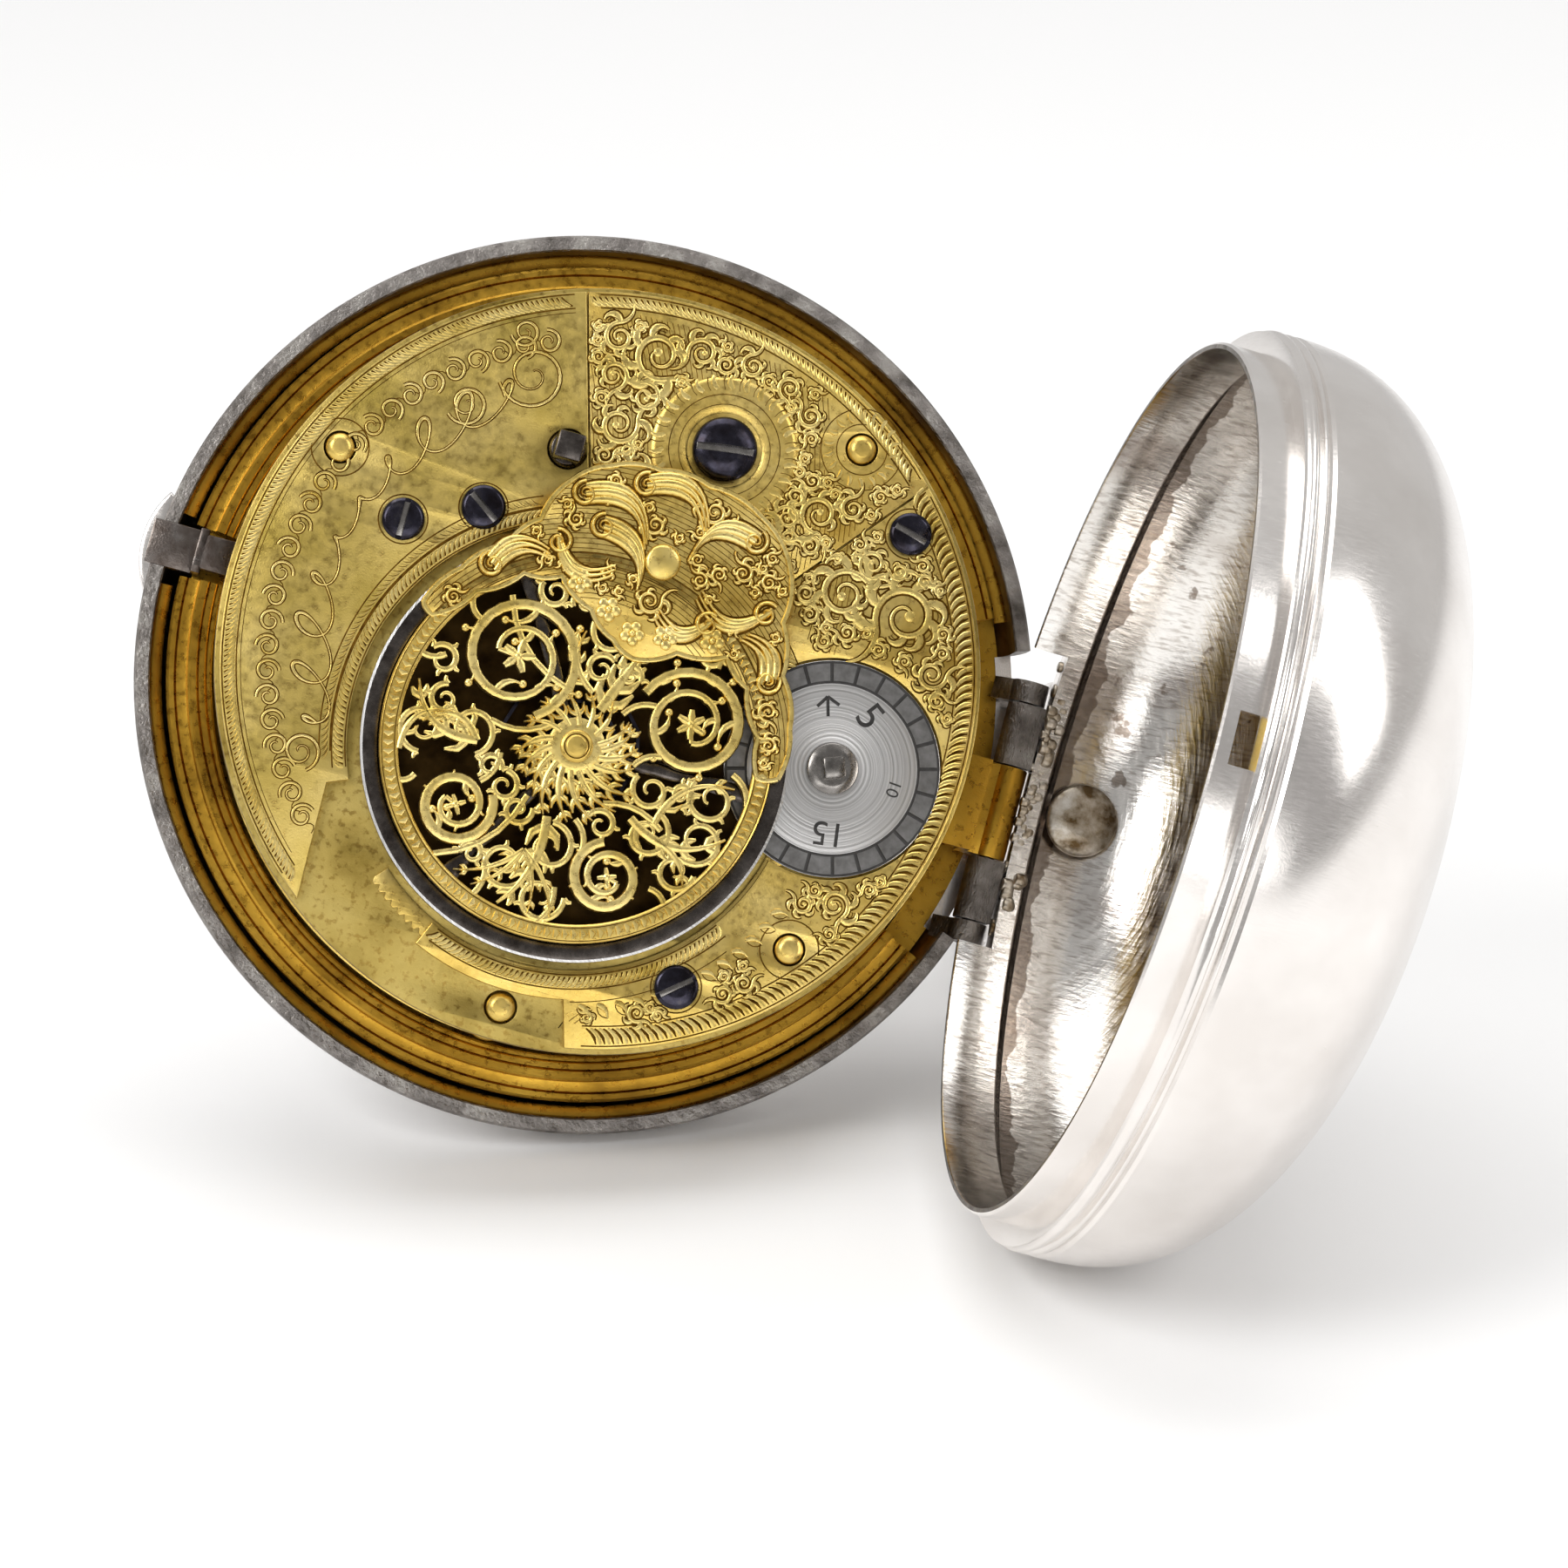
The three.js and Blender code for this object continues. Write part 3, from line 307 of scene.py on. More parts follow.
def make_materials():
    return {
        "gilt": gilt("gilt_brass", (0.82, 0.62, 0.21), (0.70, 0.50, 0.13), (0.48, 0.31, 0.06), wear=0.2),
        "gilt_plate": gilt(
            "gilt_name_plate", (0.68, 0.52, 0.18), (0.58, 0.43, 0.12), (0.40, 0.29, 0.06), 0.7,
            (0.26, 0.44), 0.22),
        "gilt_bare": gilt(
            "gilt_worn_plate", (0.52, 0.40, 0.13), (0.42, 0.31, 0.085), (0.22, 0.15, 0.03), 0.8, (0.3, 0.5)),
        "gilt_deep": gilt(
            "gilt_case_edge", (0.58, 0.34, 0.045), (0.42, 0.23, 0.025), (0.20, 0.10, 0.012), 0.7,
            (0.22, 0.42), 0.4),
        # painted highlight: a lighter copy of the gilding for raised carving, beads and the pierced table
        "gilt_painted_highlight": gilt(
            "gilt_carved_painted_highlight", (0.88, 0.70, 0.28), (0.79, 0.60, 0.19), (0.56, 0.39, 0.08), 1.2, (0.24, 0.38),
            0.2),
        "brass": gilt("wheel_brass", (0.62, 0.42, 0.12), (0.52, 0.33, 0.08), (0.3, 0.18, 0.03), 1.2),
        # painted shadow: the dark under the balance and its table, laid on the top plate
        "plate_shadow": clouded(
            "painted_shadow_under_balance", (0.5, 5), (0.35, (0.015, 0.008, 0.003)), (0.7, (0.07, 0.04, 0.012)),
            rough=0.6),
        # painted shade: the dark colour of engraved cuts, hatching and the outlines round raised carving
        "groove_painted_shade": clouded(
            "engraved_groove_painted_shade", (1.5, 3), (0.3, (0.045, 0.018, 0.002)), (0.7, (0.16, 0.08, 0.01)), rough=0.5),
        "silver": polished_silver(),
        "silver_inside": scratched_silver(),
        "silver_plain": clouded(
            "dull_silver_inside", (0.4, 5), (0.35, (0.2, 0.15, 0.1)), (0.65, (0.5, 0.44, 0.36)), rough=0.35),
        "silver_worn": worn_silver(),
        "steel": ground_steel(),
        "steel_bright": clouded(
            "polished_steel", (0.7, 5), (0.3, (0.14, 0.13, 0.12)), (0.7, (0.34, 0.32, 0.30)),
            rough=(4.0, 5, 0.16, 0.32)),
        "steel_dark": clouded(
            "dark_steel", (0.8, 5), (0.3, (0.035, 0.028, 0.024)), (0.7, (0.12, 0.105, 0.095)),
            rough=(4.0, 5, 0.18, 0.34)),
        "blued": clouded(
            "blued_steel", (0.9, 4), (0.3, (0.018, 0.015, 0.018)), (0.6, (0.038, 0.036, 0.05)),
            (0.85, (0.11, 0.10, 0.105)), rough=(3.0, 5, 0.14, 0.3)),
        "silvered": silvered_disc(),
        "silvered_dark": clouded(
            "silvered_scale_band", (1.4, 5), (0.3, (0.15, 0.145, 0.14)), (0.7, (0.28, 0.275, 0.27)),
            rough=0.42),
        "solder": solder_blob(),
        "ink": clouded(
            "black_wax", (2.0, 3), (0.3, (0.012, 0.011, 0.01)), (0.7, (0.035, 0.032, 0.03)), rough=0.45,
            metal=0.0),
        "enamel": clouded(
            "white_enamel", (0.5, 4), (0.3, (0.86, 0.84, 0.78)), (0.7, (0.93, 0.92, 0.88)), rough=0.16,
            metal=0.0,
            Coat_Weight=0.5, Coat_Roughness=0.05),
        "glass": watch_glass(),
    }


MATS = make_materials()


# ---------------------------------------------------------------- mesh helpers
def finish_piece(mesh, name, body, materials, nodes=(), opened=False, smooth=35):
    """Turns a mesh drawn in millimetres into a piece of the watch."""
    mesh.attributes.new("mm", "FLOAT_VECTOR", "POINT")
    flat = [c for v in mesh.vertices for c in v.co]
    mesh.attributes["mm"].data.foreach_set("vector", flat)
    mesh.transform(TO_ROW @ OPENED if opened else TO_ROW)
    for material in materials:
        mesh.materials.append(MATS[material])
    mesh.shade_smooth()
    mesh.set_sharp_from_angle(angle=math.radians(smooth))
    mesh.name = name
    obj = bpy.data.objects.new(name, mesh)
    bpy.context.scene.collection.objects.link(obj)
    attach(obj, body)
    if nodes:
        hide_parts(*nodes)
    return obj


def mesh_of(parts):
    """One mesh from (vertices, faces, material index) lists."""
    verts, faces, index = [], [], []
    for part_verts, part_faces, material in parts:
        base = len(verts)
        verts += part_verts
        faces += [[base + i for i in face] for face in part_faces]
        index += material if isinstance(material, list) else [material] * len(part_faces)
    mesh = bpy.data.meshes.new("part")
    mesh.from_pydata(verts, [], faces)
    mesh.polygons.foreach_set("material_index", index)
    tidy(mesh)
    return mesh


def tidy(mesh):
    bm = bmesh.new()
    bm.from_mesh(mesh)
    bmesh.ops.remove_doubles(bm, verts=bm.verts, dist=1e-5)
    bmesh.ops.dissolve_degenerate(bm, edges=bm.edges, dist=1e-6)
    bmesh.ops.recalc_face_normals(bm, faces=bm.faces)
    bm.to_mesh(mesh)
    bm.free()


def turned(profile, x=0.0, y=0.0, sides=160, start=0.0, end=360.0, material=0, axis="Z", at=None):
    """A closed profile of (radius, height) turned round an axis; a part turn gets flat ends.

    A list of materials gives one to each side of the profile.
    """
    whole = end - start >= 359.999
    count = sides if whole else max(6, int(sides * (end - start) / 360)) + 1
    verts = []
    for i in range(count):
        a = math.radians(start + (end - start) * i / (sides if whole else count - 1))
        for r, h in profile:
            p = (r * math.cos(a), r * math.sin(a), h)
            if axis == "X":
                p = (h, r * math.cos(a), r * math.sin(a))
            verts.append(p)
    n = len(profile)
    faces, kinds = [], []
    for i in range(count if whole else count - 1):
        j = (i + 1) % count
        for k in range(n):
            l = (k + 1) % n
            if profile[k][0] < 1e-6 and profile[l][0] < 1e-6:
                continue
            faces.append([i * n + k, j * n + k, j * n + l, i * n + l])
            kinds.append(material[k] if isinstance(material, list) else material)
    if not whole:
        faces.append(list(range(n)))
        faces.append([(count - 1) * n + k for k in range(n)])
        kinds += [kinds[0]] * 2
    move = Vector(at) if at else Vector((x, y, 0))
    return [tuple(Vector(v) + move) for v in verts], faces, kinds


def rounded(profile, radius=0.08, steps=2):
    """Rounds the corners of a closed profile, apart from those on the axis."""
    out = []
    n = len(profile)
    for i, point in enumerate(profile):
        p, before, after = Vector(point), Vector(profile[i - 1]), Vector(profile[(i + 1) % n])
        if p.x < 1e-6:
            out.append(tuple(p))
            continue
        a, b = (before - p), (after - p)
        cut = min(radius, a.length * 0.45, b.length * 0.45)
        a, b = a.normalized() * cut, b.normalized() * cut
        for k in range(steps + 1):
            t = k / steps
            out.append(tuple(p + a * (1 - t) ** 2 + b * t ** 2))
    return out


def lathe(profile, x=0.0, y=0.0, sides=48, corner=0.08, steps=2, material=0, **where):
    """A turned solid with rounded corners."""
    return turned(rounded(profile, corner, steps), x, y, sides, material=material, **where)


def dome(radius, spring, top, squareness, steps):
    points = []
    for i in range(steps + 1):
        t = i / steps * math.pi / 2
        r = 0.0 if i == steps else radius * math.cos(t) ** (2 / squareness)
        points.append((r, spring + (top - spring) * math.sin(t) ** (2 / squareness)))
    return points


def around(x, y, r, angle):
    """The point at an angle, in degrees, on a circle."""
    a = math.radians(angle)
    return x + r * math.cos(a), y + r * math.sin(a)


def arc(x, y, r, start, end, steps):
    return [around(x, y, r, start + (end - start) * i / steps) for i in range(steps + 1)]


def ring_part(x, y, outer, inner, start, end, steps):
    return arc(x, y, outer, start, end, steps) + arc(x, y, inner, end, start, steps)


def circle(r, x=0.0, y=0.0, steps=128):
    return arc(x, y, r, 0, 360, steps)[:-1]


def plate(outlines, z0, z1, bevel=0.05, material=0):
    """A flat plate with holes and softened edges, as (vertices, faces, material)."""
    curve = bpy.data.curves.new("outline", "CURVE")
    curve.dimensions = "2D"
    curve.fill_mode = "BOTH"
    curve.bevel_depth = bevel
    curve.bevel_resolution = 1
    curve.offset = -bevel
    curve.extrude = (z1 - z0) / 2 - bevel
    for outline in outlines:
        spline = curve.splines.new("POLY")
        spline.points.add(len(outline) - 1)
        for point, (px, py) in zip(spline.points, outline):
            point.co = (px, py, 0, 1)
        spline.use_cyclic_u = True
    obj = bpy.data.objects.new("outline", curve)
    bpy.context.scene.collection.objects.link(obj)
    bpy.context.view_layer.update()
    mesh = bpy.data.meshes.new_from_object(obj.evaluated_get(bpy.context.evaluated_depsgraph_get()))
    bpy.data.objects.remove(obj)
    middle = (z0 + z1) / 2
    verts = [(v.co.x, v.co.y, v.co.z + middle) for v in mesh.vertices]
    faces = [list(p.vertices) for p in mesh.polygons]
    bpy.data.meshes.remove(mesh)
    return verts, faces, material


def block(x, y, z, bevel=0.12, material=0, turn=0.0, about=(0, 0)):
    """A box with bevelled edges."""
    bm = bmesh.new()
    bmesh.ops.create_cube(bm, size=1)
    for v in bm.verts:
        v.co = Vector((x[0] + (v.co.x + 0.5) * (x[1] - x[0]), y[0] + (v.co.y + 0.5) * (y[1] - y[0]),
                       z[0] + (v.co.z + 0.5) * (z[1] - z[0])))
    bmesh.ops.bevel(bm, geom=bm.edges[:], offset=bevel, segments=2, profile=0.5, affect="EDGES")
    spin = Matrix.Translation((*about, 0)) @ Matrix.Rotation(math.radians(turn), 4,
                                                             "Z") @ Matrix.Translation(
        (-about[0], -about[1], 0))
    bm.transform(spin)
    verts = [tuple(v.co) for v in bm.verts]
    faces = [[v.index for v in f.verts] for f in bm.faces]
    bm.free()
    return verts, faces, material


def normal_at(points, i):
    """The direction across a line at its point i."""
    ax, ay = points[max(i - 1, 0)]
    bx, by = points[min(i + 1, len(points) - 1)]
    length = math.hypot(bx - ax, by - ay) or 1.0
    return -(by - ay) / length, (bx - ax) / length


def tube_faces(rings, ring):
    """Faces that join rings of points into a closed tube."""
    faces = []
    for i in range(rings - 1):
        for k in range(ring):
            l = (k + 1) % ring
            faces.append([i * ring + k, i * ring + l, (i + 1) * ring + l, (i + 1) * ring + k])
    return faces + [list(range(ring)), [(rings - 1) * ring + k for k in range(ring)]]


def stroke(points, widths, z, height, material=0, sides=5, fullness=0.6):
    """A tapering ribbon with a rounded back, laid flat at height z: used for scrollwork and for cuts."""
    if not isinstance(widths, (list, tuple)):
        widths = [widths] * len(points)
    verts = []
    for i, (x, y) in enumerate(points):
        nx, ny = normal_at(points, i)
        half = widths[i] / 2
        for k in range(sides):
            t = math.pi * k / (sides - 1)
            side, lift = math.cos(t), max(math.sin(t), 0.0) ** fullness
            verts.append((x + nx * half * side, y + ny * half * side, z + height * lift))
        verts.append((x, y, z - min(height, 0.05)))
    return verts, tube_faces(len(points), sides + 1), material


def cut(points, widths, z):
    """An engraved line, almost flat: its dark colour is painted shade in the groove."""
    return stroke(points, widths, z, ENGRAVE_LIFT, GROOVE_SHADE, 4)


def softened(node, body, material, opened=False, bevel=0.05):
    """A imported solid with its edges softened, in the watch's finish."""
    place = TO_ROW @ OPENED if opened else TO_ROW
    bm = bmesh.new()
    bm.from_mesh(frame["nodes"][node].data)
    bmesh.ops.transform(bm, matrix=place.inverted(), verts=bm.verts)
    bmesh.ops.remove_doubles(bm, verts=bm.verts, dist=1e-3)
    bmesh.ops.dissolve_limit(bm, angle_limit=math.radians(1), verts=bm.verts, edges=bm.edges)
    sharp = [e for e in bm.edges if len(e.link_faces) == 2 and e.calc_face_angle() > math.radians(32)]
    if bevel:
        bmesh.ops.bevel(bm, geom=sharp, offset=bevel, segments=2, profile=0.6, affect="EDGES",
                        clamp_overlap=True)
    mesh = bpy.data.meshes.new(node)
    bm.to_mesh(mesh)
    bm.free()
    mesh.materials.clear()
    return finish_piece(mesh, node + "_finished", body, [material], [node], opened)


def body_with(node):
    return frame["nodes"][node]["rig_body"]


def piece(name, body, materials, parts, nodes=(), opened=False, smooth=35):
    return finish_piece(mesh_of(parts), name, body, materials, nodes, opened, smooth)


def slotted(head, x, y, radius, top, angle, width=0.42, depth=0.4):
    """A screw head with its screwdriver slot cut, and the bright floor of the slot."""
    mesh = mesh_of([head])
    cutter = mesh_of([block((x - radius - 1, x + radius + 1), (y - width / 2, y + width / 2),
                            (top - depth, top + 2), 0.01, 0, angle, (x, y))])
    objs = [bpy.data.objects.new("head", mesh), bpy.data.objects.new("cutter", cutter)]
    for obj in objs:
        bpy.context.scene.collection.objects.link(obj)
    cut = objs[0].modifiers.new("slot", "BOOLEAN")
    cut.operation, cut.solver, cut.object = "DIFFERENCE", "EXACT", objs[1]
    bpy.context.view_layer.update()
    done = bpy.data.meshes.new_from_object(objs[0].evaluated_get(bpy.context.evaluated_depsgraph_get()))
    for obj in objs:
        bpy.data.objects.remove(obj)
    half = radius - 0.25
    floor = block((x - half, x + half), (y - width / 2 - 0.02, y + width / 2 + 0.02),
                  (top - depth - 0.1, top - depth + 0.05), 0.02, 1, angle, (x, y))
    return [([tuple(v.co) for v in done.vertices], [list(p.vertices) for p in done.polygons], 0), floor]


# ---------------------------------------------------------------- outlines of the engraved plates
def line_circle(start, end, centre, r, far=True):
    """Where the line from start to end leaves (or enters) a circle."""
    p, d = Vector(start) - Vector(centre), (Vector(end) - Vector(start)).normalized()
    b, c = p.dot(d), p.dot(p) - r * r
    root = math.sqrt(max(b * b - c, 0))
    return tuple(Vector(start) + d * (-b + root if far else -b - root))


def circles_meet(c1, r1, c2, r2):
    """The two crossings of two circles."""
    a, b = Vector(c1), Vector(c2)
    gap = (b - a).length
    along = (r1 * r1 - r2 * r2 + gap * gap) / (2 * gap)
    across = math.sqrt(r1 * r1 - along * along)
    d = (b - a) / gap
    foot = a + d * along
    side = Vector((-d.y, d.x)) * across
    return tuple(foot + side), tuple(foot - side)


def heading(point, centre=(0, 0)):
    return math.degrees(math.atan2(point[1] - centre[1], point[0] - centre[0]))


def between(centre, r, start_point, end_point, steps, clockwise=False):
    """Arc round a centre from one point to another."""
    a, b = heading(start_point, centre), heading(end_point, centre)
    if clockwise and b > a:
        b -= 360
    if not clockwise and b < a:
        b += 360
    return arc(centre[0], centre[1], r, a, b, steps)


def offset_line(line, by):
    (x0, y0), (x1, y1) = line
    d = Vector((x1 - x0, y1 - y0)).normalized()
    n = Vector((-d.y, d.x)) * by
    return (x0 + n.x, y0 + n.y), (x1 + n.x, y1 + n.y)


def name_plate_outline():
    a, b = offset_line(NAME_CUT, -0.06)
    top, low = line_circle(b, a, (0, 0), COVER_R), line_circle(a, b, HUB, NAME_BORE, far=False)
    tip, heel = (-13.9, -18.0), (-14.2, -11.0)
    inner = line_circle(heel, HUB, HUB, NAME_BORE, far=False)
    tip = tuple(Vector(tip).normalized() * COVER_R)
    return (between((0, 0), COVER_R, top, tip, 90) + [heel]
            + between(HUB, NAME_BORE, inner, low, 60, clockwise=True))


def foot_outline():
    ends = []
    for line in (offset_line(NAME_CUT, 0.06), offset_line(SLIDE_CUT, -0.06)):
        ends.append((line_circle(line[1], line[0], (0, 0), COVER_R),
                     line_circle(*line, HUB, FOOT_BORE, far=False)))
    (top, low), (top2, low2) = ends
    return between((0, 0), COVER_R, top2, top, 50) + between(HUB, FOOT_BORE, low, low2, 40, clockwise=True)


def slide_plate_outline():
    line = offset_line(SLIDE_CUT, 0.06)
    top, low = line_circle(line[1], line[0], (0, 0), COVER_R), line_circle(*line, HUB, FOOT_BORE, far=False)
    step = (3.8, -math.sqrt(COVER_R ** 2 - 3.8 ** 2))
    rail_start = (3.0, HUB[1] - math.sqrt(RAIL_R ** 2 - 3.3 ** 2))
    rail_end = around(*HUB, RAIL_R, -114)
    rail_inner = around(*HUB, FOOT_BORE, -114)
    meets = sorted(circles_meet(HUB, FOOT_BORE, DISC, DISC_BORE), key=lambda p: p[1])
    return (between((0, 0), COVER_R, top, step, 90, clockwise=True)
            + between(HUB, RAIL_R, rail_start, rail_end, 24, clockwise=True)
            + between(HUB, FOOT_BORE, rail_inner, meets[0], 50)
            + between(DISC, DISC_BORE, meets[0], meets[1], 60)
            + between(HUB, FOOT_BORE, meets[1], low, 20))


# ---------------------------------------------------------------- engraving
def inside(outline, x, y):
    hit = False
    for (x0, y0), (x1, y1) in zip(outline, outline[1:] + outline[:1]):
        if (y0 > y) != (y1 > y) and x < x0 + (y - y0) / (y1 - y0) * (x1 - x0):
            hit = not hit
    return hit


def room(outline, holes, x, y):
    """How far a point is from the nearest edge of a plate or of its holes; negative outside."""
    if not inside(outline, x, y):
        return -1.0
    gap = min((x - (a[0] + b[0]) / 2) ** 2 + (y - (a[1] + b[1]) / 2) ** 2
              for a, b in zip(outline, outline[1:] + outline[:1]))
    gap = math.sqrt(gap)
    for (x0, y0), (x1, y1) in zip(outline, outline[1:] + outline[:1]):
        dx, dy = x1 - x0, y1 - y0
        length = dx * dx + dy * dy
        if length > 1:
            t = max(0.0, min(1.0, ((x - x0) * dx + (y - y0) * dy) / length))
            gap = min(gap, math.hypot(x - x0 - t * dx, y - y0 - t * dy))
    for hx, hy, hr in holes:
        gap = min(gap, math.hypot(x - hx, y - hy) - hr)
    return gap


def pack_circles(outline, holes, sizes, tries, margin=-0.12, overlap=0.68):
    """Circles of falling size that fill a plate, placed by a seeded random search."""
    xs, ys = [p[0] for p in outline], [p[1] for p in outline]
    found = []
    for size in sizes:
        for _ in range(tries):
            x, y = random.uniform(min(xs), max(xs)), random.uniform(min(ys), max(ys))
            if any(math.hypot(x - cx, y - cy) < (cr + size) * overlap for cx, cy, cr in found):
                continue
            if room(outline, holes, x, y) > size + margin:
                found.append((x, y, size))
    return found


def spiral(x, y, r, start, turns, hand, inner=0.14):
    steps = int(26 * turns)
    points = []
    for i in range(steps + 1):
        t = i / steps
        a = math.radians(start) + hand * t * turns * 2 * math.pi
        radius = r * (1 - t) ** 0.85 * (1 - inner) + r * inner
        points.append((x + radius * math.cos(a), y + radius * math.sin(a)))
    return points


def taper(n, widest, tip=0.3, head=0.5):
    """Widths that swell from the head and thin out to the tip."""
    return [widest * (head + (1 - head) * math.sin(math.pi * min(1, i / n * 1.4 + 0.1)))
            * (1 - (1 - tip) * (i / n) ** 2) for i in range(n)]


def bent(start, end, bow, steps=5):
    """A short arc from start to end, bowed sideways."""
    (x0, y0), (x1, y1) = start, end
    nx, ny = -(y1 - y0) * bow, (x1 - x0) * bow
    return [(x0 + (x1 - x0) * i / steps + nx * 4 * (i / steps) * (1 - i / steps),
             y0 + (y1 - y0) * i / steps + ny * 4 * (i / steps) * (1 - i / steps)) for i in range(steps + 1)]


def relief(points, widths, z, lift):
    """A raised, rounded ridge in the lighter painted-highlight gilding, with a dark cut of painted shade
    round it.
    """
    return [cut(points, [w * 1.2 + 0.12 for w in widths], z),
            stroke(points, widths, z, lift, PAINTED_HIGHLIGHT, 7, 0.85)]


def curl(start, first, last, length, steps=8):
    """A line that sets off in one heading and turns evenly to another, in radians."""
    points = [start]
    for k in range(steps):
        a = first + (last - first) * k / (steps - 1)
        x, y = points[-1]
        points.append((x + length / steps * math.cos(a), y + length / steps * math.sin(a)))
    return points


def leafy_scroll(x, y, r, start, hand, z, lift=0.055):
    """An acanthus scroll: a spiral stem whose leaves break outwards like waves, and a tail."""
    parts = []
    stem = spiral(x, y, r * 0.66, start, 1.5, hand)
    leaves = max(4, int(4 + r * 1.6))
    facing = math.atan2(stem[0][1] - y, stem[0][0] - x)
    tail = curl(stem[0], facing - hand * 1.4, facing + hand * 0.1, r * 1.15)
    parts += relief(tail, taper(9, 0.14 + 0.09 * r, 0.15, 0.9), z, lift * 1.1)
    for i in reversed(range(leaves)):
        t = i / leaves
        k = int(t * 0.62 * (len(stem) - 1))
        sx, sy = stem[k]
        facing = math.atan2(sy - y, sx - x)
        size = r * (1.0 - 0.55 * t)
        leaf = curl((sx, sy), facing + hand * 0.1, facing + hand * 2.7, size)
        parts += relief(leaf, taper(9, 0.16 + 0.24 * size, 0.16, 0.7), z, lift * 1.3)
        inner = curl((sx, sy), facing + hand * 0.5, facing + hand * 2.5, size * 0.66)
        parts.append(cut(inner, 0.05, z + lift))
    parts += relief(stem, taper(len(stem), 0.18 + 0.1 * r, 0.4, 0.7), z, lift * 1.5)
    eye = stem[-1]
    dot = [(0, z - 0.03), (0.12 * r, z - 0.03), (0.12 * r, z + lift), (0, z + lift * 1.6)]
    parts.append(lathe(dot, *eye, 12, 0.03, material=PAINTED_HIGHLIGHT))
    return parts


def hatching(outline, holes, centre, z):
    """Fine lines round a centre, cut only where the plate is."""
    parts = []
    gap, dash, longest = 0.3, 0.45, 14
    for i in range(int(9 / gap), int(44 / gap)):
        r = i * gap
        run = []
        steps = int(FULL_TURN * r / dash)
        for k in range(steps + 1):
            p = around(*centre, r, 360 * k / steps)
            clear = inside(outline, *p) and all(math.hypot(p[0] - x, p[1] - y) > hole for x, y,
                                                hole in holes)
            if clear:
                run.append(p)
            if run and (not clear or k == steps or len(run) > longest):
                if len(run) > 2:
                    parts.append(stroke(run, 0.05, z, ENGRAVE_LIFT * 0.7, GROOVE_SHADE, 3))
                run = [p] if clear else []
    return parts


def foliage(outline, holes, z):
    """Hatching and leafy scrolls over a plate, clear of its edge and of the holes."""
    inner = [(x * INSET, y * INSET) for x, y in outline]
    parts = hatching(inner, holes, (-30.0, 6.0), z)
    for i, (x, y, r) in enumerate(pack_circles(inner, holes, SCROLL_SIZES, 1200)):
        parts += leafy_scroll(x, y, r, random.uniform(0, 360), 1 if i % 2 else -1, z)
    return parts


def border_cuts(x, y, r0, r1, start, end, count, z, lean=1.6, width=0.19):
    """A ring of slanting cuts and beads between two radii, with a fine line either side; the cuts are
    painted shade, the beads are in the lighter painted-highlight gilding.
    """
    parts = []
    for i in range(count):
        for beside, sizes, lift, material in (
                (0.5, (0.5, 1, 1, 0.4), ENGRAVE_LIFT, GROOVE_SHADE), (1.0, (0.9, 1.5, 1.4, 0.8), 0.05, PAINTED_HIGHLIGHT)):
            a = start + (end - start) * (i + beside) / count
            line = bent(around(x, y, r0, a), around(x, y, r1, a + lean), 0.12, 3)
            parts.append(stroke(line, [width * k for k in sizes], z, lift, material, 4))
    for r in (r0 - 0.14, r1 + 0.12):
        parts.append(cut(arc(x, y, r, start, end, max(12, int(abs(end - start) / 2))), 0.09, z))
    return parts


# ---------------------------------------------------------------- case
def make_case():
    outer, inner = dome(28.1, 2.2, 17.03, 2.4, 30), dome(27.3, 2.2, 16.25, 2.4, 26)
    beads = [*arc(27.92, 1.6, 0.17, 60, -75, 4), (27.86, 1.36), *arc(27.9, 0.9, 0.2, 70, -70, 5)]
    moulding = [(27.93, 1.98), *beads, (27.9, 0.62), (27.86, 0.5), (27.9, 0.3), (27.6, 0.25)]
    ledge = [(26.6, 0.25), (26.15, 0.3), (26.15, 1.5), (27.1, 1.9)]
    kinds = [0] * (len(outer) + len(moulding)) + [1] * (len(ledge) + len(inner))
    parts = [turned(outer[::-1] + moulding + ledge + inner, sides=240, material=kinds)]
    collar = [(26.6, 0.35), (26.6, -1.75), (26.45, -1.9), (26.2, -1.9), (26.15, -1.8), (26.15, 0.35)]
    below_bolt = [(26.6, -1.0), *collar[1:5], (26.15, -1.0)]
    for profile, start, end in ((collar, 21.0, 173.6), (collar, 180.3, 339.0), (below_bolt, 173.5, 180.4)):
        parts.append(turned(profile, sides=240, start=start, end=end, material=[0, 0, 2, 1, 1, 0]))
    piece("case_bowl_shell", "case_bowl", ["silver", "silver_inside", "silver_worn"], parts,
          ["case_bowl"], True, 28)
    make_solder()
    make_pendant()
    make_bow()
    for node in ("bowl_knuckle_upper", "bowl_knuckle_lower"):
        softened(node, "case_bowl", "silver_worn", True, 0.12)
    softened("bow_pin", "bow", "steel", True, 0.1)
    softened("hinge_pin", "movement", "steel", False, 0.08)


def make_solder():
    """Uneven lumps along the bowl's hinge, sunk into the wall where the movement's joint closes on it."""
    lump = rounded([(0, -0.6), (0.5, -0.6), (0.55, 0), (0.34, 0.3), (0, 0.36)], 0.14, 3)
    count, reach = 70, 8.8
    parts = []
    for i in range(count):
        y = -reach + 2 * reach * i / (count - 1)
        at_joint = -4.5 < y < 2.7
        size = random.uniform(0.5, 0.7 if at_joint else 1.0)
        x = 26.35 if at_joint else 26.0 - 0.3 * size + random.uniform(-0.2, 0.15)
        z = 0.95 + random.uniform(-0.5, 0.45)
        parts.append(turned([(r * size, h * size) for r, h in lump], sides=10, at=(x, y, z)))
    piece("hinge_solder", "case_bowl", ["solder"], parts, (), True)


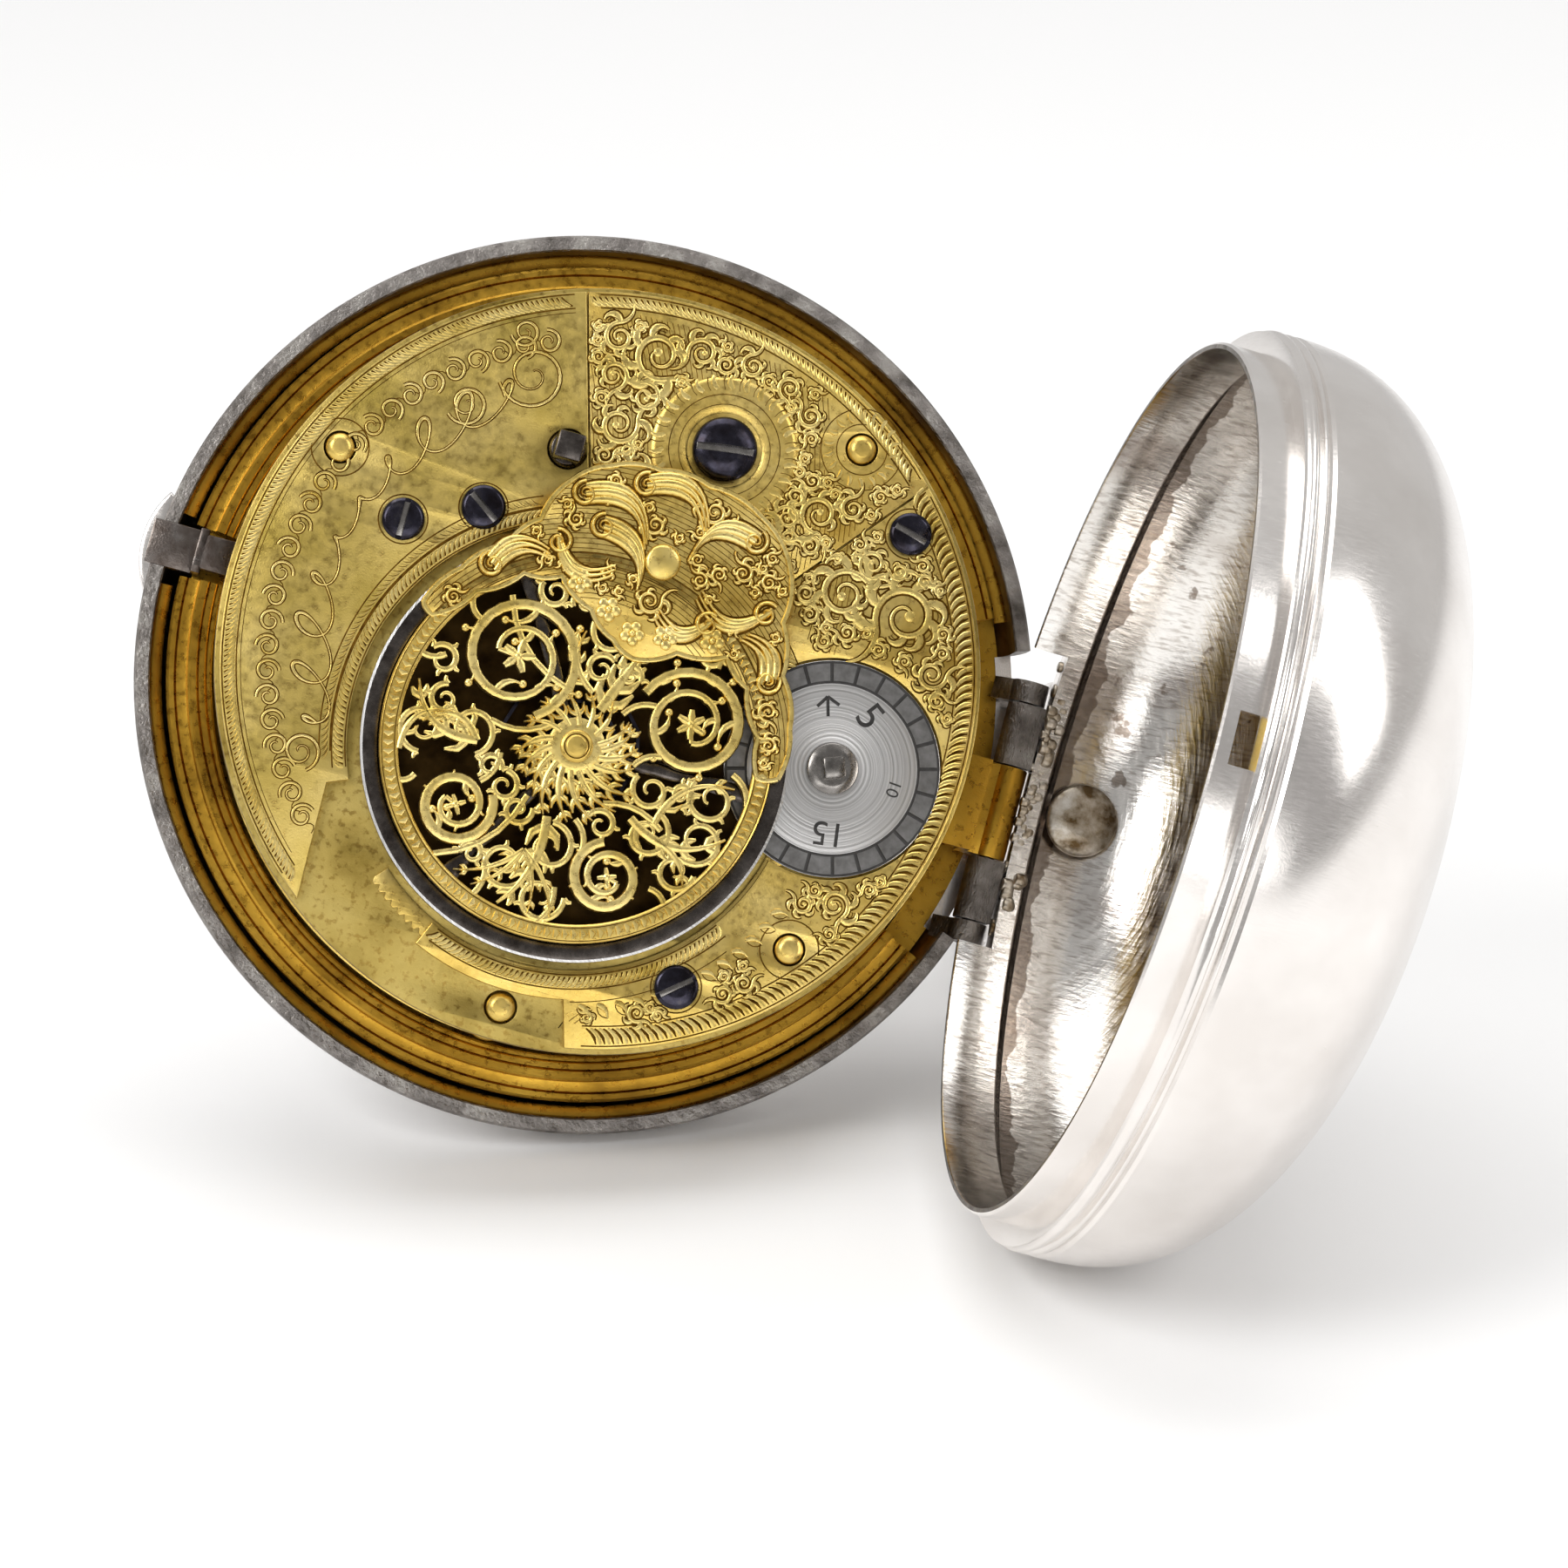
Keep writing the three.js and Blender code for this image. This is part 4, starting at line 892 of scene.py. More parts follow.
def make_pendant():
    """The pendant's stem and ball, with its riveted end inside the bowl."""
    stem = [(0, 26.3), (1.9, 26.3), (1.9, 28.5), (3.0, 28.55), (3.0, 29.1), (2.2, 29.6), (2.0, 30.6),
            (2.1, 31.4), (2.7, 31.7), (3.1, 33.0), (3.1, 35.3), (2.5, 36.6), (1.3, 37.2), (0, 37.3)]
    rivet = [(0, 25.6), (1.2, 25.7), (1.9, 25.95), (2.25, 26.15), (2.3, 26.5), (0, 26.5)]
    axis = {"axis": "X", "at": (0, 0, KNOB.z)}
    parts = [lathe(stem, sides=64, corner=0.25, steps=3, **axis),
             lathe(rivet, corner=0.3, steps=3, material=1, **axis)]
    piece("pendant_stem", "case_bowl", ["silver", "solder"], parts, ["pendant"], True)


def make_bow():
    """An open ring whose ends are eyes on the pin through the pendant."""
    gap, ring = 3.9, 8.8
    opening = math.asin(gap / ring)
    middle, half = KNOB.x + ring * math.cos(opening), math.degrees(math.pi - opening)
    parts = [turned(circle(1.1, ring, 0, 20), sides=120, start=-half, end=half, at=(middle, 0, KNOB.z))]
    for side in (1, -1):
        y0, y1 = sorted((side * (gap - 0.55), side * (gap + 0.75)))
        eye = [(0.55, y0), (1.3, y0), (1.35, y1), (0.55, y1)]
        verts, faces, kinds = lathe(eye, sides=40, corner=0.2, steps=3)
        parts.append(([(KNOB.x + x, z, KNOB.z + y) for x, y, z in verts], faces, kinds))
    piece("bow_ring", "bow", ["silver"], parts, ["bow"], True)


def make_front_cover():
    outer, inner = dome(27.88, -0.9, -8.75, 2.6, 22), dome(26.92, -1.8, -8.05, 2.6, 20)[::-1]
    rim = [(26.92, -0.08), (27.02, 0.0), (27.76, -0.02), (27.88, -0.14)]
    kinds = [0] * len(rim) + [1] * (len(outer) - 1) + [2] * (len(inner) + 1)
    hinge, below_hinge = 19.6, -3.7
    low = [(27.1, -3.6), *(p for p in outer + inner if p[1] < below_hinge), (26.1, -3.6)]
    lip = [*arc(-23.0, 1.4, 5.75, 146, 214, 14), (-27.2, -1.4), (-27.2, 4.2)]
    seat = rounded([(26.1, -2.35), (26.95, -2.35), (26.95, -2.05), (26.75, -1.98), (26.1, -2.05)], 0.06)
    low_seat = [(24.3, -4.3), (26.2, -4.3), (26.3, -3.75), (24.3, -3.75)]
    parts = [turned(rim + outer + inner, sides=240, start=hinge, end=360 - hinge, material=kinds),
             turned(low, sides=240, start=-hinge, end=hinge, material=1),
             plate([lip], -1.5, -0.15, 0.2, 1)]
    for profile, start, end in ((seat, 24.0, 172.0), (seat, 181.8, 336.0), (low_seat, -26, 26)):
        parts.append(turned(profile, sides=200, start=start, end=end, material=3))
    piece("front_cover_shell", "front_cover",
          ["silver_worn", "silver", "silver_plain", "gilt_deep"], parts, ["front_lid"], smooth=30)
    for node in ("lid_knuckle_upper", "lid_knuckle_lower"):
        softened(node, "front_cover", "silver_worn", False, 0.1)


def make_edge():
    """The movement's brass edge and the bezel below it, both cut back at the hinge."""
    edge = [(23.15, -1.3), (25.9, -1.3), (25.9, -0.15), (25.75, 0.0), (25.45, 0.0), (25.38, -0.14),
            (25.3, 0.0),
            (24.95, 0.0), (24.7, 0.05), (24.62, 0.62), (24.48, 0.75), (24.1, 0.75), (24.02, 0.62),
            (23.94, 0.75), (23.6, 0.75), (23.52, 0.64), (23.44, 0.75), (23.25, 0.75), (23.15, 0.66)]
    edge_by_hinge = [(23.15, -1.3), (23.9, -1.3), (23.9, 0.75), (23.15, 0.75)]
    cut_back = 24.5
    parts = [turned(profile, sides=240, start=start, end=end) for profile, start, end in (
        (edge, cut_back, 173.2), (edge, 180.6, 360 - cut_back), (edge_by_hinge, -cut_back, cut_back))]
    piece("brass_edge_ring", "movement", ["gilt_deep"], parts, ["brass_edge"], smooth=25)
    bezel = rounded([(22.6, -1.4), (25.2, -1.4), (25.2, -2.5), (24.7, -2.9), (24.2, -3.25), (23.4, -3.6),
                     (22.6, -3.6)], 0.15)
    by_hinge = [(22.6, -1.4), (23.9, -1.4), (23.9, -3.45), (23.4, -3.6), (22.6, -3.6)]
    parts = [turned(bezel, sides=200, start=cut_back, end=360 - cut_back),
             turned(by_hinge, sides=200, start=-cut_back, end=cut_back)]
    piece("bezel_ring", "movement", ["gilt_deep"], parts, ["bezel"], smooth=30)
    softened("movement_joint", "movement", "gilt_deep", False, 0.12)


# ---------------------------------------------------------------- dial side
def ink_line(points, width, z):
    return stroke(points, width, z, 0.02, 1, 4)


def make_dial():
    front = 2.1
    marks = []
    for minute in range(60):
        start, width = (19.9, 0.16) if minute % 5 else (19.5, 0.4)
        marks.append(ink_line([around(0, 0, r, minute * 6) for r in (start, 20.6)], width, front))
    marks += [ink_line(arc(0, 0, r, 0, 360, 120), 0.09, front) for r in (19.85, 20.65)]
    numerals = ("XII", "I", "II", "III", "IIII", "V", "VI", "VII", "VIII", "IX", "X", "XI")
    for hour, text in enumerate(numerals):
        marks += roman(text, 16.4, -30.0 * hour, front)
    parts = [lathe([(1.45, -2.1), (22.4, -2.1), (22.4, -1.6), (1.45, -1.6)], sides=200, corner=0.1)]
    parts += [([(x, y, -z) for x, y, z in verts], faces, kind) for verts, faces, kind in marks]
    piece("dial_plate", "movement", ["enamel", "ink"], parts, ["dial"], smooth=30)
    steps = [i / 16 for i in range(17)]
    glass = [(22.4 * t, -3.4 - 3.5 * (1 - t * t)) for t in steps[::-1]]
    under = [(21.5 * t, -2.6 - 3.6 * (1 - t * t)) for t in steps]
    piece("watch_glass", "movement", ["glass"], [turned([(22.4, -2.6), *glass, *under])],
          ["crystal"], smooth=30)
    make_hand("hour_hand", "hour", 11.5, 1.1, (1.31, 1.9), 55, -2.75)
    make_hand("minute_hand", "centre", 17.0, 0.8, (0.76, 1.4), -60, -3.25)


def make_hand(node, body, length, width, hub, angle, z):
    bore, outer = hub
    spade = 0.74 * length
    top = z + 0.2
    blade = [(outer * 0.8, -0.28), (length * 0.6, -0.25), *arc(spade, 0, width, -120, -20, 5), (length, 0),
             *arc(spade, 0, width, 20, 120, 5), (length * 0.6, 0.25), (outer * 0.8, 0.28)]
    c, s = math.cos(math.radians(angle)), math.sin(math.radians(angle))
    blade = [(x * c - y * s, x * s + y * c) for x, y in blade]
    parts = [plate([blade], z, top), lathe([(bore, z), (outer, z), (outer, top), (bore, top)], corner=0.05)]
    piece(node + "_blade", body, ["blued"], parts, [node])


def roman(text, r, angle, z):
    """A Roman numeral drawn with strokes, its foot towards the centre. Seen from the dial side."""
    thick, thin = 0.42, 0.16
    letters = {"I": (0.85, ((0.35, 0.35, thick),)),
               "V": (1.8, ((0, 0.75, thick), (1.5, 0.75, thin))),
               "X": (1.7, ((0, 1.4, thick), (1.4, 0, thin)))}
    width = sum(letters[letter][0] for letter in text)
    turn, at, parts = math.radians(angle), 0.0, []
    for letter in text:
        advance, strokes = letters[letter]
        for top, foot, weight in strokes:
            ends = []
            for x, y in ((at + top, 1.5), (at + foot, -1.5)):
                across, along = width / 2 - x, r + y
                ends.append((along * math.cos(turn) + across * math.sin(turn),
                             along * math.sin(turn) - across * math.cos(turn)))
            parts.append(ink_line(ends, weight, z))
        at += advance
    return parts


# ---------------------------------------------------------------- plates
# plain gilding, a lighter copy of it as painted highlight, and the dark painted shade of the cuts
GILT_LOOKS = ["gilt", "gilt_painted_highlight", "groove_painted_shade"]


def holes_at(r, spots, steps=32):
    return [circle(r, x, y, steps) for x, y in spots]


def make_plates():
    low = [(0.65, -0.45), (22.9, -0.45), (22.9, 0.75), (0.65, 0.75)]
    piece("pillar_plate_disc", "movement", ["gilt"], [lathe(low, sides=200, corner=0.12)],
          ["pillar_plate"], smooth=30)
    holes = holes_at(PIN_HOLE, [p[:2] for p in PILLARS])
    holes += holes_at(SCREW_HOLE, (*NAME_SCREWS, *SLIDE_SCREWS, COCK_SCREW), 24)
    holes += [circle(1.3, FUSEE.x, FUSEE.y, 32), circle(1.2, *HUB, 32), circle(0.95, *DISC, 24)]
    # a thin dark disc on the top plate under the balance: painted shadow of the balance and the table
    shadow = [(1.25, 9.58), (12.6, 9.58), (12.6, 9.61), (1.25, 9.63)]
    parts = [plate([circle(23.3, steps=200), *holes], 8.6, 9.6, 0.08),
             lathe(shadow, *HUB, 120, 0.005, material=1),
             stroke([(3.2, -21.6), (3.7, -20.4)], 0.06, 9.6, ENGRAVE_LIFT, 1, 4)]
    piece("top_plate_disc", "movement", ["gilt_bare", "plate_shadow"], parts,
          ["top_plate"], smooth=30)
    for i, (x, y, end) in enumerate(PILLARS):
        z0, z1 = 0.85, 8.5
        middle = (z0 + z1) / 2
        profile = [(0, z0), (1.75, z0), (1.75, z0 + 0.6), (1.15, z0 + 1.0), (0.9, z0 + 1.5),
                   (1.25, middle - 1.2), (1.45, middle), (1.25, middle + 1.2), (0.9, z1 - 1.5),
                   (1.15, z1 - 1.0), (1.75, z1 - 0.6), (1.75, z1), (0.88, z1), (0.88, end - 0.3),
                   (0.55, end - 0.02), (0, end)]
        piece(f"pillar_post_{i + 1}", "movement", ["gilt"], [lathe(profile, x, y, corner=0.12)],
              [f"pillar_{i + 1}"])


def countersink(x, y, r, z):
    """A fine dark ring round a hole: painted shade of its countersink."""
    return cut(arc(x, y, r, 0, 360, 40), 0.09, z)


def make_name_plate():
    z0, z1 = COVER_Z
    pin = PILLARS[0][:2]
    holes = [circle(PIN_HOLE, *pin, 32), *holes_at(SCREW_HOLE, NAME_SCREWS),
             circle(1.24, FUSEE.x, FUSEE.y, 40)]
    parts = [plate([name_plate_outline(), *holes], z0, z1)]
    parts += border_cuts(0, 0, 22.15, 22.75, 109, 228, 150, z1)
    parts.append(cut(arc(0, 0, 21.75, 109, 226, 80), 0.045, z1))
    parts += border_cuts(*HUB, 14.0, 14.55, 104, 200, 70, z1, lean=-2)
    parts += border_cuts(*HUB, 14.9, 15.3, 112, 196, 56, z1, lean=2, width=0.05)
    parts += running_coils(20.15, z1)
    parts += flourish(z1)
    for x, y, r in ((-8.6, 16.2, 2.1), (-12.0, 13.4, 1.3), (-16.2, -9.6, 1.2), (-9.7, 18.6, 0.9)):
        coil = spiral(x, y, r, heading((x, y)) + 90, 1.7, 1, 0.1)
        parts += relief(coil, taper(len(coil), 0.16, 0.3), z1, 0.03)
    parts.append(countersink(*pin, PIN_HOLE + 0.75, z1))
    parts += [countersink(*spot, SCREW_HOLE + 0.75, z1) for spot in NAME_SCREWS]
    piece("name_plate_engraved", "movement", ["gilt_plate", "gilt_painted_highlight", "groove_painted_shade"], parts,
          ["name_plate"], smooth=30)


def running_coils(r, z):
    """A row of linked coils along the edge, in place of the plate's inscription."""
    parts = []
    for i in range(26):
        a = 114 + i * 4.3
        hand = 1 if i % 2 else -1
        coil = spiral(*around(0, 0, r, a), 0.74, a + (180 if i % 2 else 0), 1.35, hand, 0.2)
        parts += relief(coil, taper(len(coil), 0.15, 0.4, 0.7), z, 0.03)
        link = bent(around(0, 0, r, a + 1.4), around(0, 0, r, a + 3.4), 0.5 * hand, 4)
        parts.append(cut(link, 0.07, z))
    return parts


def flourish(z, loops=9.5, steps=419):
    """A looping line with no letters, in place of the signature."""
    points, widths = [], []
    for i in range(steps + 1):
        t = i / steps
        phase = FULL_TURN * loops * t
        swell = 0.75 + 0.45 * math.sin(3.1 * t * math.pi)
        r = 17.5 + swell * math.sin(phase)
        a = math.radians(122 + 86 * t) + math.radians(3.6) * swell * math.cos(phase + 0.5)
        points.append((r * math.cos(a), r * math.sin(a)))
        widths.append(0.07 + 0.12 * max(0.0, math.sin(phase)))
    return relief(points, widths, z, 0.03)


def make_slide_plate():
    z0, z1 = COVER_Z
    outline = slide_plate_outline()
    pins = [p[:2] for p in PILLARS[2:]]
    holes = [*holes_at(PIN_HOLE, pins[1:]), *holes_at(SCREW_HOLE, SLIDE_SCREWS)]
    parts = [plate([outline, *holes], z0, z1)]
    parts += border_cuts(0, 0, 21.75, 22.7, -78, 43, 88, z1)
    parts += border_cuts(*HUB, 13.85, 14.45, -112, -36, 58, z1, lean=-2)
    parts += border_cuts(*HUB, 13.85, 14.45, 30, 52, 16, z1, lean=-2)
    for i in range(13):
        a = -74 + i * 4.1
        mid, tip = around(*HUB, 15.55, a), around(*HUB, 16.45, a + 2)
        parts.append(stroke(bent(mid, tip, 0.2, 4), taper(5, 0.42, 0.2), z1, 0.08, PAINTED_HIGHLIGHT))
        parts.append(cut(bent(mid, tip, -0.25, 4), 0.07, z1))
    parts.append(cut(arc(*HUB, 15.35, -76, -38, 40), 0.06, z1))
    keep = [(*spot, PIN_HOLE + 0.8) for spot in pins] + [(*spot, SCREW_HOLE + 0.8) for spot in SLIDE_SCREWS]
    parts += foliage(outline, [*keep, (*HUB, 15.7), (*DISC, 6.9)], z1)
    parts += [countersink(x, y, r, z1) for x, y, r in keep[1:]]
    piece("slide_plate_engraved", "movement", GILT_LOOKS, parts, ["slide_plate"], smooth=30)


def make_rack():
    teeth, start, sweep = 68, -132, 160
    step = sweep / teeth
    rack = []
    for i in range(teeth):
        a = start + sweep * i / teeth
        rack += [around(*HUB, r, a + step * share) for r, share in (
            (14.35, 0), (14.6, 0.3), (14.6, 0.6), (14.35, 0.9))]
    rack += arc(*HUB, 13.4, start + sweep, start, 90)
    piece("rack_ring_toothed", "rack", ["gilt"], [plate([rack], 9.66, 9.9, 0.02)], ["rack_ring"],
          smooth=30)


# ---------------------------------------------------------------- balance cock
def around_hub(angle, r):
    """A point given by its angle and distance from the balance staff."""
    return around(*HUB, r, angle)


def ribbon(points, widths, z0, z1, lift=0.16, material=PAINTED_HIGHLIGHT):
    """A strip of the pierced table, flat below and rounded above."""
    if not isinstance(widths, (list, tuple)):
        widths = [widths] * len(points)
    verts, across = [], 6
    for i, (x, y) in enumerate(points):
        nx, ny = normal_at(points, i)
        half = widths[i] / 2
        for k in range(across):
            t = math.pi * k / (across - 1)
            verts.append((x + nx * half * math.cos(t), y + ny * half * math.cos(t),
                          z1 - lift + lift * math.sin(t) ** 0.7))
        verts += [(x - nx * half, y - ny * half, z0), (x + nx * half, y + ny * half, z0)]
    return verts, tube_faces(len(points), across + 2), material


def pierced_scroll(angle, r, size, start, hand, petals):
    """A round scroll of the table: outer ring of stem, inner coil, side leaves, berries and a flower."""
    z0, z1 = TABLE_Z
    x, y = around_hub(angle, r)
    stem = spiral(x, y, size, start, 1.65, hand, 0.34)
    parts = [ribbon(stem, taper(len(stem), 0.74, 0.6, 0.8), z0, z1)]
    leaves = 9
    for i in range(leaves):
        sx, sy = stem[int((0.04 + 0.9 * i / leaves) * (len(stem) - 1))]
        out = Vector((sx - x, sy - y))
        inward = i % 3 == 2
        a = math.atan2(out.y, out.x) + hand * (0.75 if inward else 0.5)
        reach = out.length + (-0.24 if inward else 0.16) * size
        tip = (x + reach * math.cos(a), y + reach * math.sin(a))
        parts.append(ribbon(bent((sx, sy), tip, 0.22 * hand), taper(6, 0.5, 0.5), z0, z1 - 0.03))
        if inward or size > 2.6:
            berry = [(0, z0), (0.24, z0), (0.26, z1 - 0.12), (0, z1 + 0.02)]
            parts.append(lathe(berry, *tip, 14, material=PAINTED_HIGHLIGHT))
    for i in range(petals):
        a = math.radians(start + 360 * i / petals)
        end = (x + size * 0.27 * math.cos(a), y + size * 0.27 * math.sin(a))
        petal = [(x, y), ((x + end[0]) / 2, (y + end[1]) / 2), end]
        parts.append(ribbon(petal, [0.2, 0.16 * size, 0.1 * size], z0, z1 + 0.02, 0.2))
    heart = [(0, z0), (0.26, z0), (0.24, z1 + 0.05), (0, z1 + 0.12)]
    parts.append(lathe(heart, x, y, 16, material=PAINTED_HIGHLIGHT))
    last = stem[-1]
    parts.append(ribbon([last, ((last[0] + x) / 2, (last[1] + y) / 2), (x, y)], 0.3, z0, z1 - 0.05))
    return parts


def frond(base, tip, bow, width, lobes, lift=0.2):
    """An acanthus frond: a bowed spine with lobes on both sides that curl towards its tip."""
    z0, z1 = TABLE_Z
    base, tip = around_hub(*base), around_hub(*tip)
    spine = bent(base, tip, bow, 12)
    parts = [ribbon(spine, taper(13, width * 0.55, 0.25, 0.8), z0, z1, lift)]
    for i in range(lobes):
        t = (i + 0.5) / lobes
        k = min(11, int(t * 12))
        (x, y), (nx, ny) = spine[k], spine[k + 1]
        forward = math.atan2(ny - y, nx - x)
        reach = width * (1.25 - 0.75 * t)
        for side in (1, -1):
            a, last = forward + side * 0.95, forward + side * 0.25
            mid = (x + reach * 0.6 * math.cos(a), y + reach * 0.6 * math.sin(a))
            end = (mid[0] + reach * 0.55 * math.cos(last), mid[1] + reach * 0.55 * math.sin(last))
            lobe = [(x, y), ((x + mid[0]) / 2, (y + mid[1]) / 2), mid,
                    ((mid[0] + end[0]) / 2, (mid[1] + end[1]) / 2), end]
            parts.append(ribbon(lobe, [width * share for share in (0.42, 0.44, 0.42, 0.3, 0.14)],
                                z0, z1 - 0.05, lift))
    return parts


# angle, distance from the staff, radius, start of the stem, hand, petals
SCROLLS = ((138, 6.45, 3.75, 300, 1, 5), (26, 7.05, 3.35, 160, -1, 6), (221, 8.1, 2.3, 30, -1, 4),
           (298, 8.1, 2.15, 110, 1, 4))
# from, to (angle, distance), bow, width, lobes
FRONDS = (
    ((192, 6.0), (172, 10.3), 0.22, 1.25, 4), ((192, 6.0), (186, 9.4), -0.3, 1.05, 3),
    ((196, 10.7), (180, 7.4), 0.28, 0.85, 3), ((262, 4.6), (258, 10.6), 0.12, 1.35, 4),
    *(((258, 7.0), (258 + spread * 0.75, 10.5), 0.1, 0.72, 3) for spread in (-24, -14, 14, 24)),
    ((322, 5.4), (343, 10.6), -0.2, 1.25, 4), ((330, 6.6), (0, 9.9), 0.2, 1.0, 3),
    ((325, 7.4), (322, 10.6), 0.16, 0.9, 3), ((72, 2.6), (70, 7.2), 0.0, 1.5, 4),
    ((88, 3.4), (100, 7.0), 0.2, 0.9, 3),
)
# stems that tie the scrolls to the ring and to each other: from, to (angle, distance)
TIES = (
    ((150, 2.0), (178, 5.4)), ((112, 3.4), (128, 9.9)), ((200, 4.6), (215, 6.2)), ((240, 4.2), (232, 10.8)),
    ((284, 4.4), (288, 6.3)), ((310, 3.8), (330, 7.2)), ((356, 3.6), (8, 5.2)), ((50, 3.4), (42, 5.4)),
    ((5, 9.6), (356, 10.9)), ((160, 9.6), (164, 10.9)), ((246, 8.8), (250, 10.9)), ((276, 8.6), (272, 10.9)),
    ((205, 9.9), (206, 10.9)), ((44, 9.8), (46, 10.9)), ((142, 9.6), (140, 10.9)), ((312, 9.6), (314, 10.9)),
)


def make_table():
    """The pierced table over the balance."""
    z0, z1 = TABLE_Z
    ring = [(10.75, z0), (TABLE_R, z0), (TABLE_R, z1 - 0.1), (TABLE_R - 0.12, z1), (10.9, z1),
            (10.75, z1 - 0.1)]
    parts = [lathe(ring, *HUB, 200, 0.04)]
    for i in range(96):
        a = 150 + 262 * i / 96
        bead = [around_hub(a, 11.08), around_hub(a + 0.6, 11.35), around_hub(a, 11.64)]
        parts.append(stroke(bead, [0.2, 0.46, 0.2], z1, 0.1, PAINTED_HIGHLIGHT))
    parts += [cut(arc(*HUB, r, 0, 360, 140), 0.06, z1) for r in (10.98, 11.76)]
    for scroll in SCROLLS:
        parts += pierced_scroll(*scroll)
    for leaf in FRONDS:
        parts += frond(*leaf)
    for i in range(11):
        a = 176 + i * 19
        parts += frond((a, 1.5), (a + 26, 4.6 if 2 < i < 8 else 3.7), -0.12, 0.95, 3, 0.28)
    for i in range(6):
        a = 20 + i * 26
        parts += frond((a, 1.3), (a + 20, 3.5), -0.12, 0.75, 2, 0.24)
    for start, end in TIES:
        parts.append(ribbon(bent(around_hub(*start), around_hub(*end), 0.14), 0.42, z0, z1 - 0.03))
    parts += filling_coils()
    boss = [(0, z0), (0.95, z0), (1.0, z1), (0.8, z1 + 0.1), (0.72, z1 + 0.02), (0.6, z1 + 0.14),
            (0, z1 + 0.16)]
    collar = [(0.9, z0), (1.75, z0), (1.75, z1 - 0.12), (0.9, z1 - 0.02)]
    parts += [lathe(boss, *HUB, 40, 0.05), lathe(collar, *HUB, 40, material=PAINTED_HIGHLIGHT)]
    parts.append(cut(arc(*HUB, 0.75, 0, 360, 30), 0.07, z1 + 0.06))
    return parts


def filling_coils():
    """Small leafy coils wherever the table's main scrolls leave room."""
    z0, z1 = TABLE_Z
    taken = [(*around_hub(angle, r), size * 0.97) for angle, r, size, *_ in SCROLLS] + [(*HUB, 4.0)]
    coils = pack_circles(circle(10.85, *HUB, 90), taken, (1.5, 1.2, 0.95, 0.75), 260, -0.15, 0.8)
    parts = []
    for i, (x, y, r) in enumerate(coils):
        hand = 1 if i % 2 else -1
        coil = spiral(x, y, r, random.uniform(0, 360), 1.25, hand, 0.2)
        parts.append(ribbon(coil, taper(len(coil), 0.46, 0.5, 0.8), z0, z1 - 0.04))
        for k in range(4):
            sx, sy = coil[int(k * len(coil) / 6)]
            a = math.atan2(sy - y, sx - x) + hand * 0.5
            tip = (sx + 0.5 * math.cos(a), sy + 0.5 * math.sin(a))
            parts.append(ribbon(bent((sx, sy), tip, 0.2 * hand, 3), [0.34, 0.36, 0.3, 0.2], z0, z1 - 0.05))
    return parts


# the neck's edge, as angle and distance from the staff
NECK = ((6, 12.3), (20, 12.95), (34, 13.2), (46, 14.6), (55, 16.9), (66, 17.9), (78, 17.75), (88, 17.5),
        (98, 17.1), (106, 16.1), (114, 13.9), (124, 12.9), (138, 12.75), (152, 12.65), (153, 11.75),
        (138, 11.1), (122, 10.9), (110, 10.3), (99, 8.3), (86, 6.8), (72, 6.3), (58, 8.3), (46, 10.6),
        (34, 10.9), (18, 11.0), (5, 11.1))
# waves of the neck's carving: from, to (angle, distance) and bow
WAVES = (((103, 15.3), (86, 12.9), 0.3), ((64, 16.5), (74, 13.4), -0.3), ((90, 16.4), (74, 15.2), 0.3),
         ((50, 14.0), (66, 11.8), 0.3), ((110, 12.4), (93, 10.9), -0.3), ((98, 13.4), (84, 10.4), 0.25),
         ((58, 10.8), (74, 9.4), 0.3), ((130, 12.1), (113, 11.7), 0.25), ((34, 12.2), (48, 12.2), -0.25))
ROSETTES = ((104, 10.0), (92, 8.5), (79, 7.6), (66, 8.5), (53, 10.4))
NECK_BOSS = (80, 12.3)


def neck_outline():
    """Edge of the neck, scalloped like overlapping leaves where it spreads over the table."""
    points = []
    for start, end in zip(NECK, NECK[1:] + NECK[:1]):
        points += bent(around_hub(*start), around_hub(*end), -0.085, 6)[:-1]
    return points


def make_cock():
    z0, z1 = COVER_Z
    outline, neck = foot_outline(), neck_outline()
    pin = PILLARS[1][:2]
    parts = [plate([outline, circle(PIN_HOLE, *pin, 32), circle(SCREW_HOLE, *COCK_SCREW, 24)], z0, z1)]
    parts += border_cuts(0, 0, 22.15, 22.7, 46, 105, 64, z1)
    parts += foliage(outline, [(*pin, 2.5), (*COCK_SCREW, 4.4)], z1)
    parts += screw_rosette(z1)
    for i in range(18):
        petal = bent(around(*pin, 1.75, 20 * i), around(*pin, 2.35, 20 * i + 4), 0.15, 3)
        parts.append(stroke(petal, [0.16, 0.3, 0.26, 0.12], z1, 0.08, PAINTED_HIGHLIGHT))
    parts += [cut(arc(*pin, r, 0, 360, 40), 0.07, z1) for r in (1.55, 2.5)]
    riser = [*arc(*HUB, 15.4, 58, 97, 16), *arc(*HUB, 13.7, 97, 58, 16)]
    parts.append(plate([riser], z1 - 0.2, TABLE_Z[1] - 0.05, 0.06))
    parts.append(plate([neck], TABLE_Z[0] + 0.05, TABLE_Z[1], 0.16))
    parts += carved_neck(neck)
    parts += make_table()
    piece("balance_cock_carved", "movement", GILT_LOOKS, parts, ["balance_cock"], smooth=38)


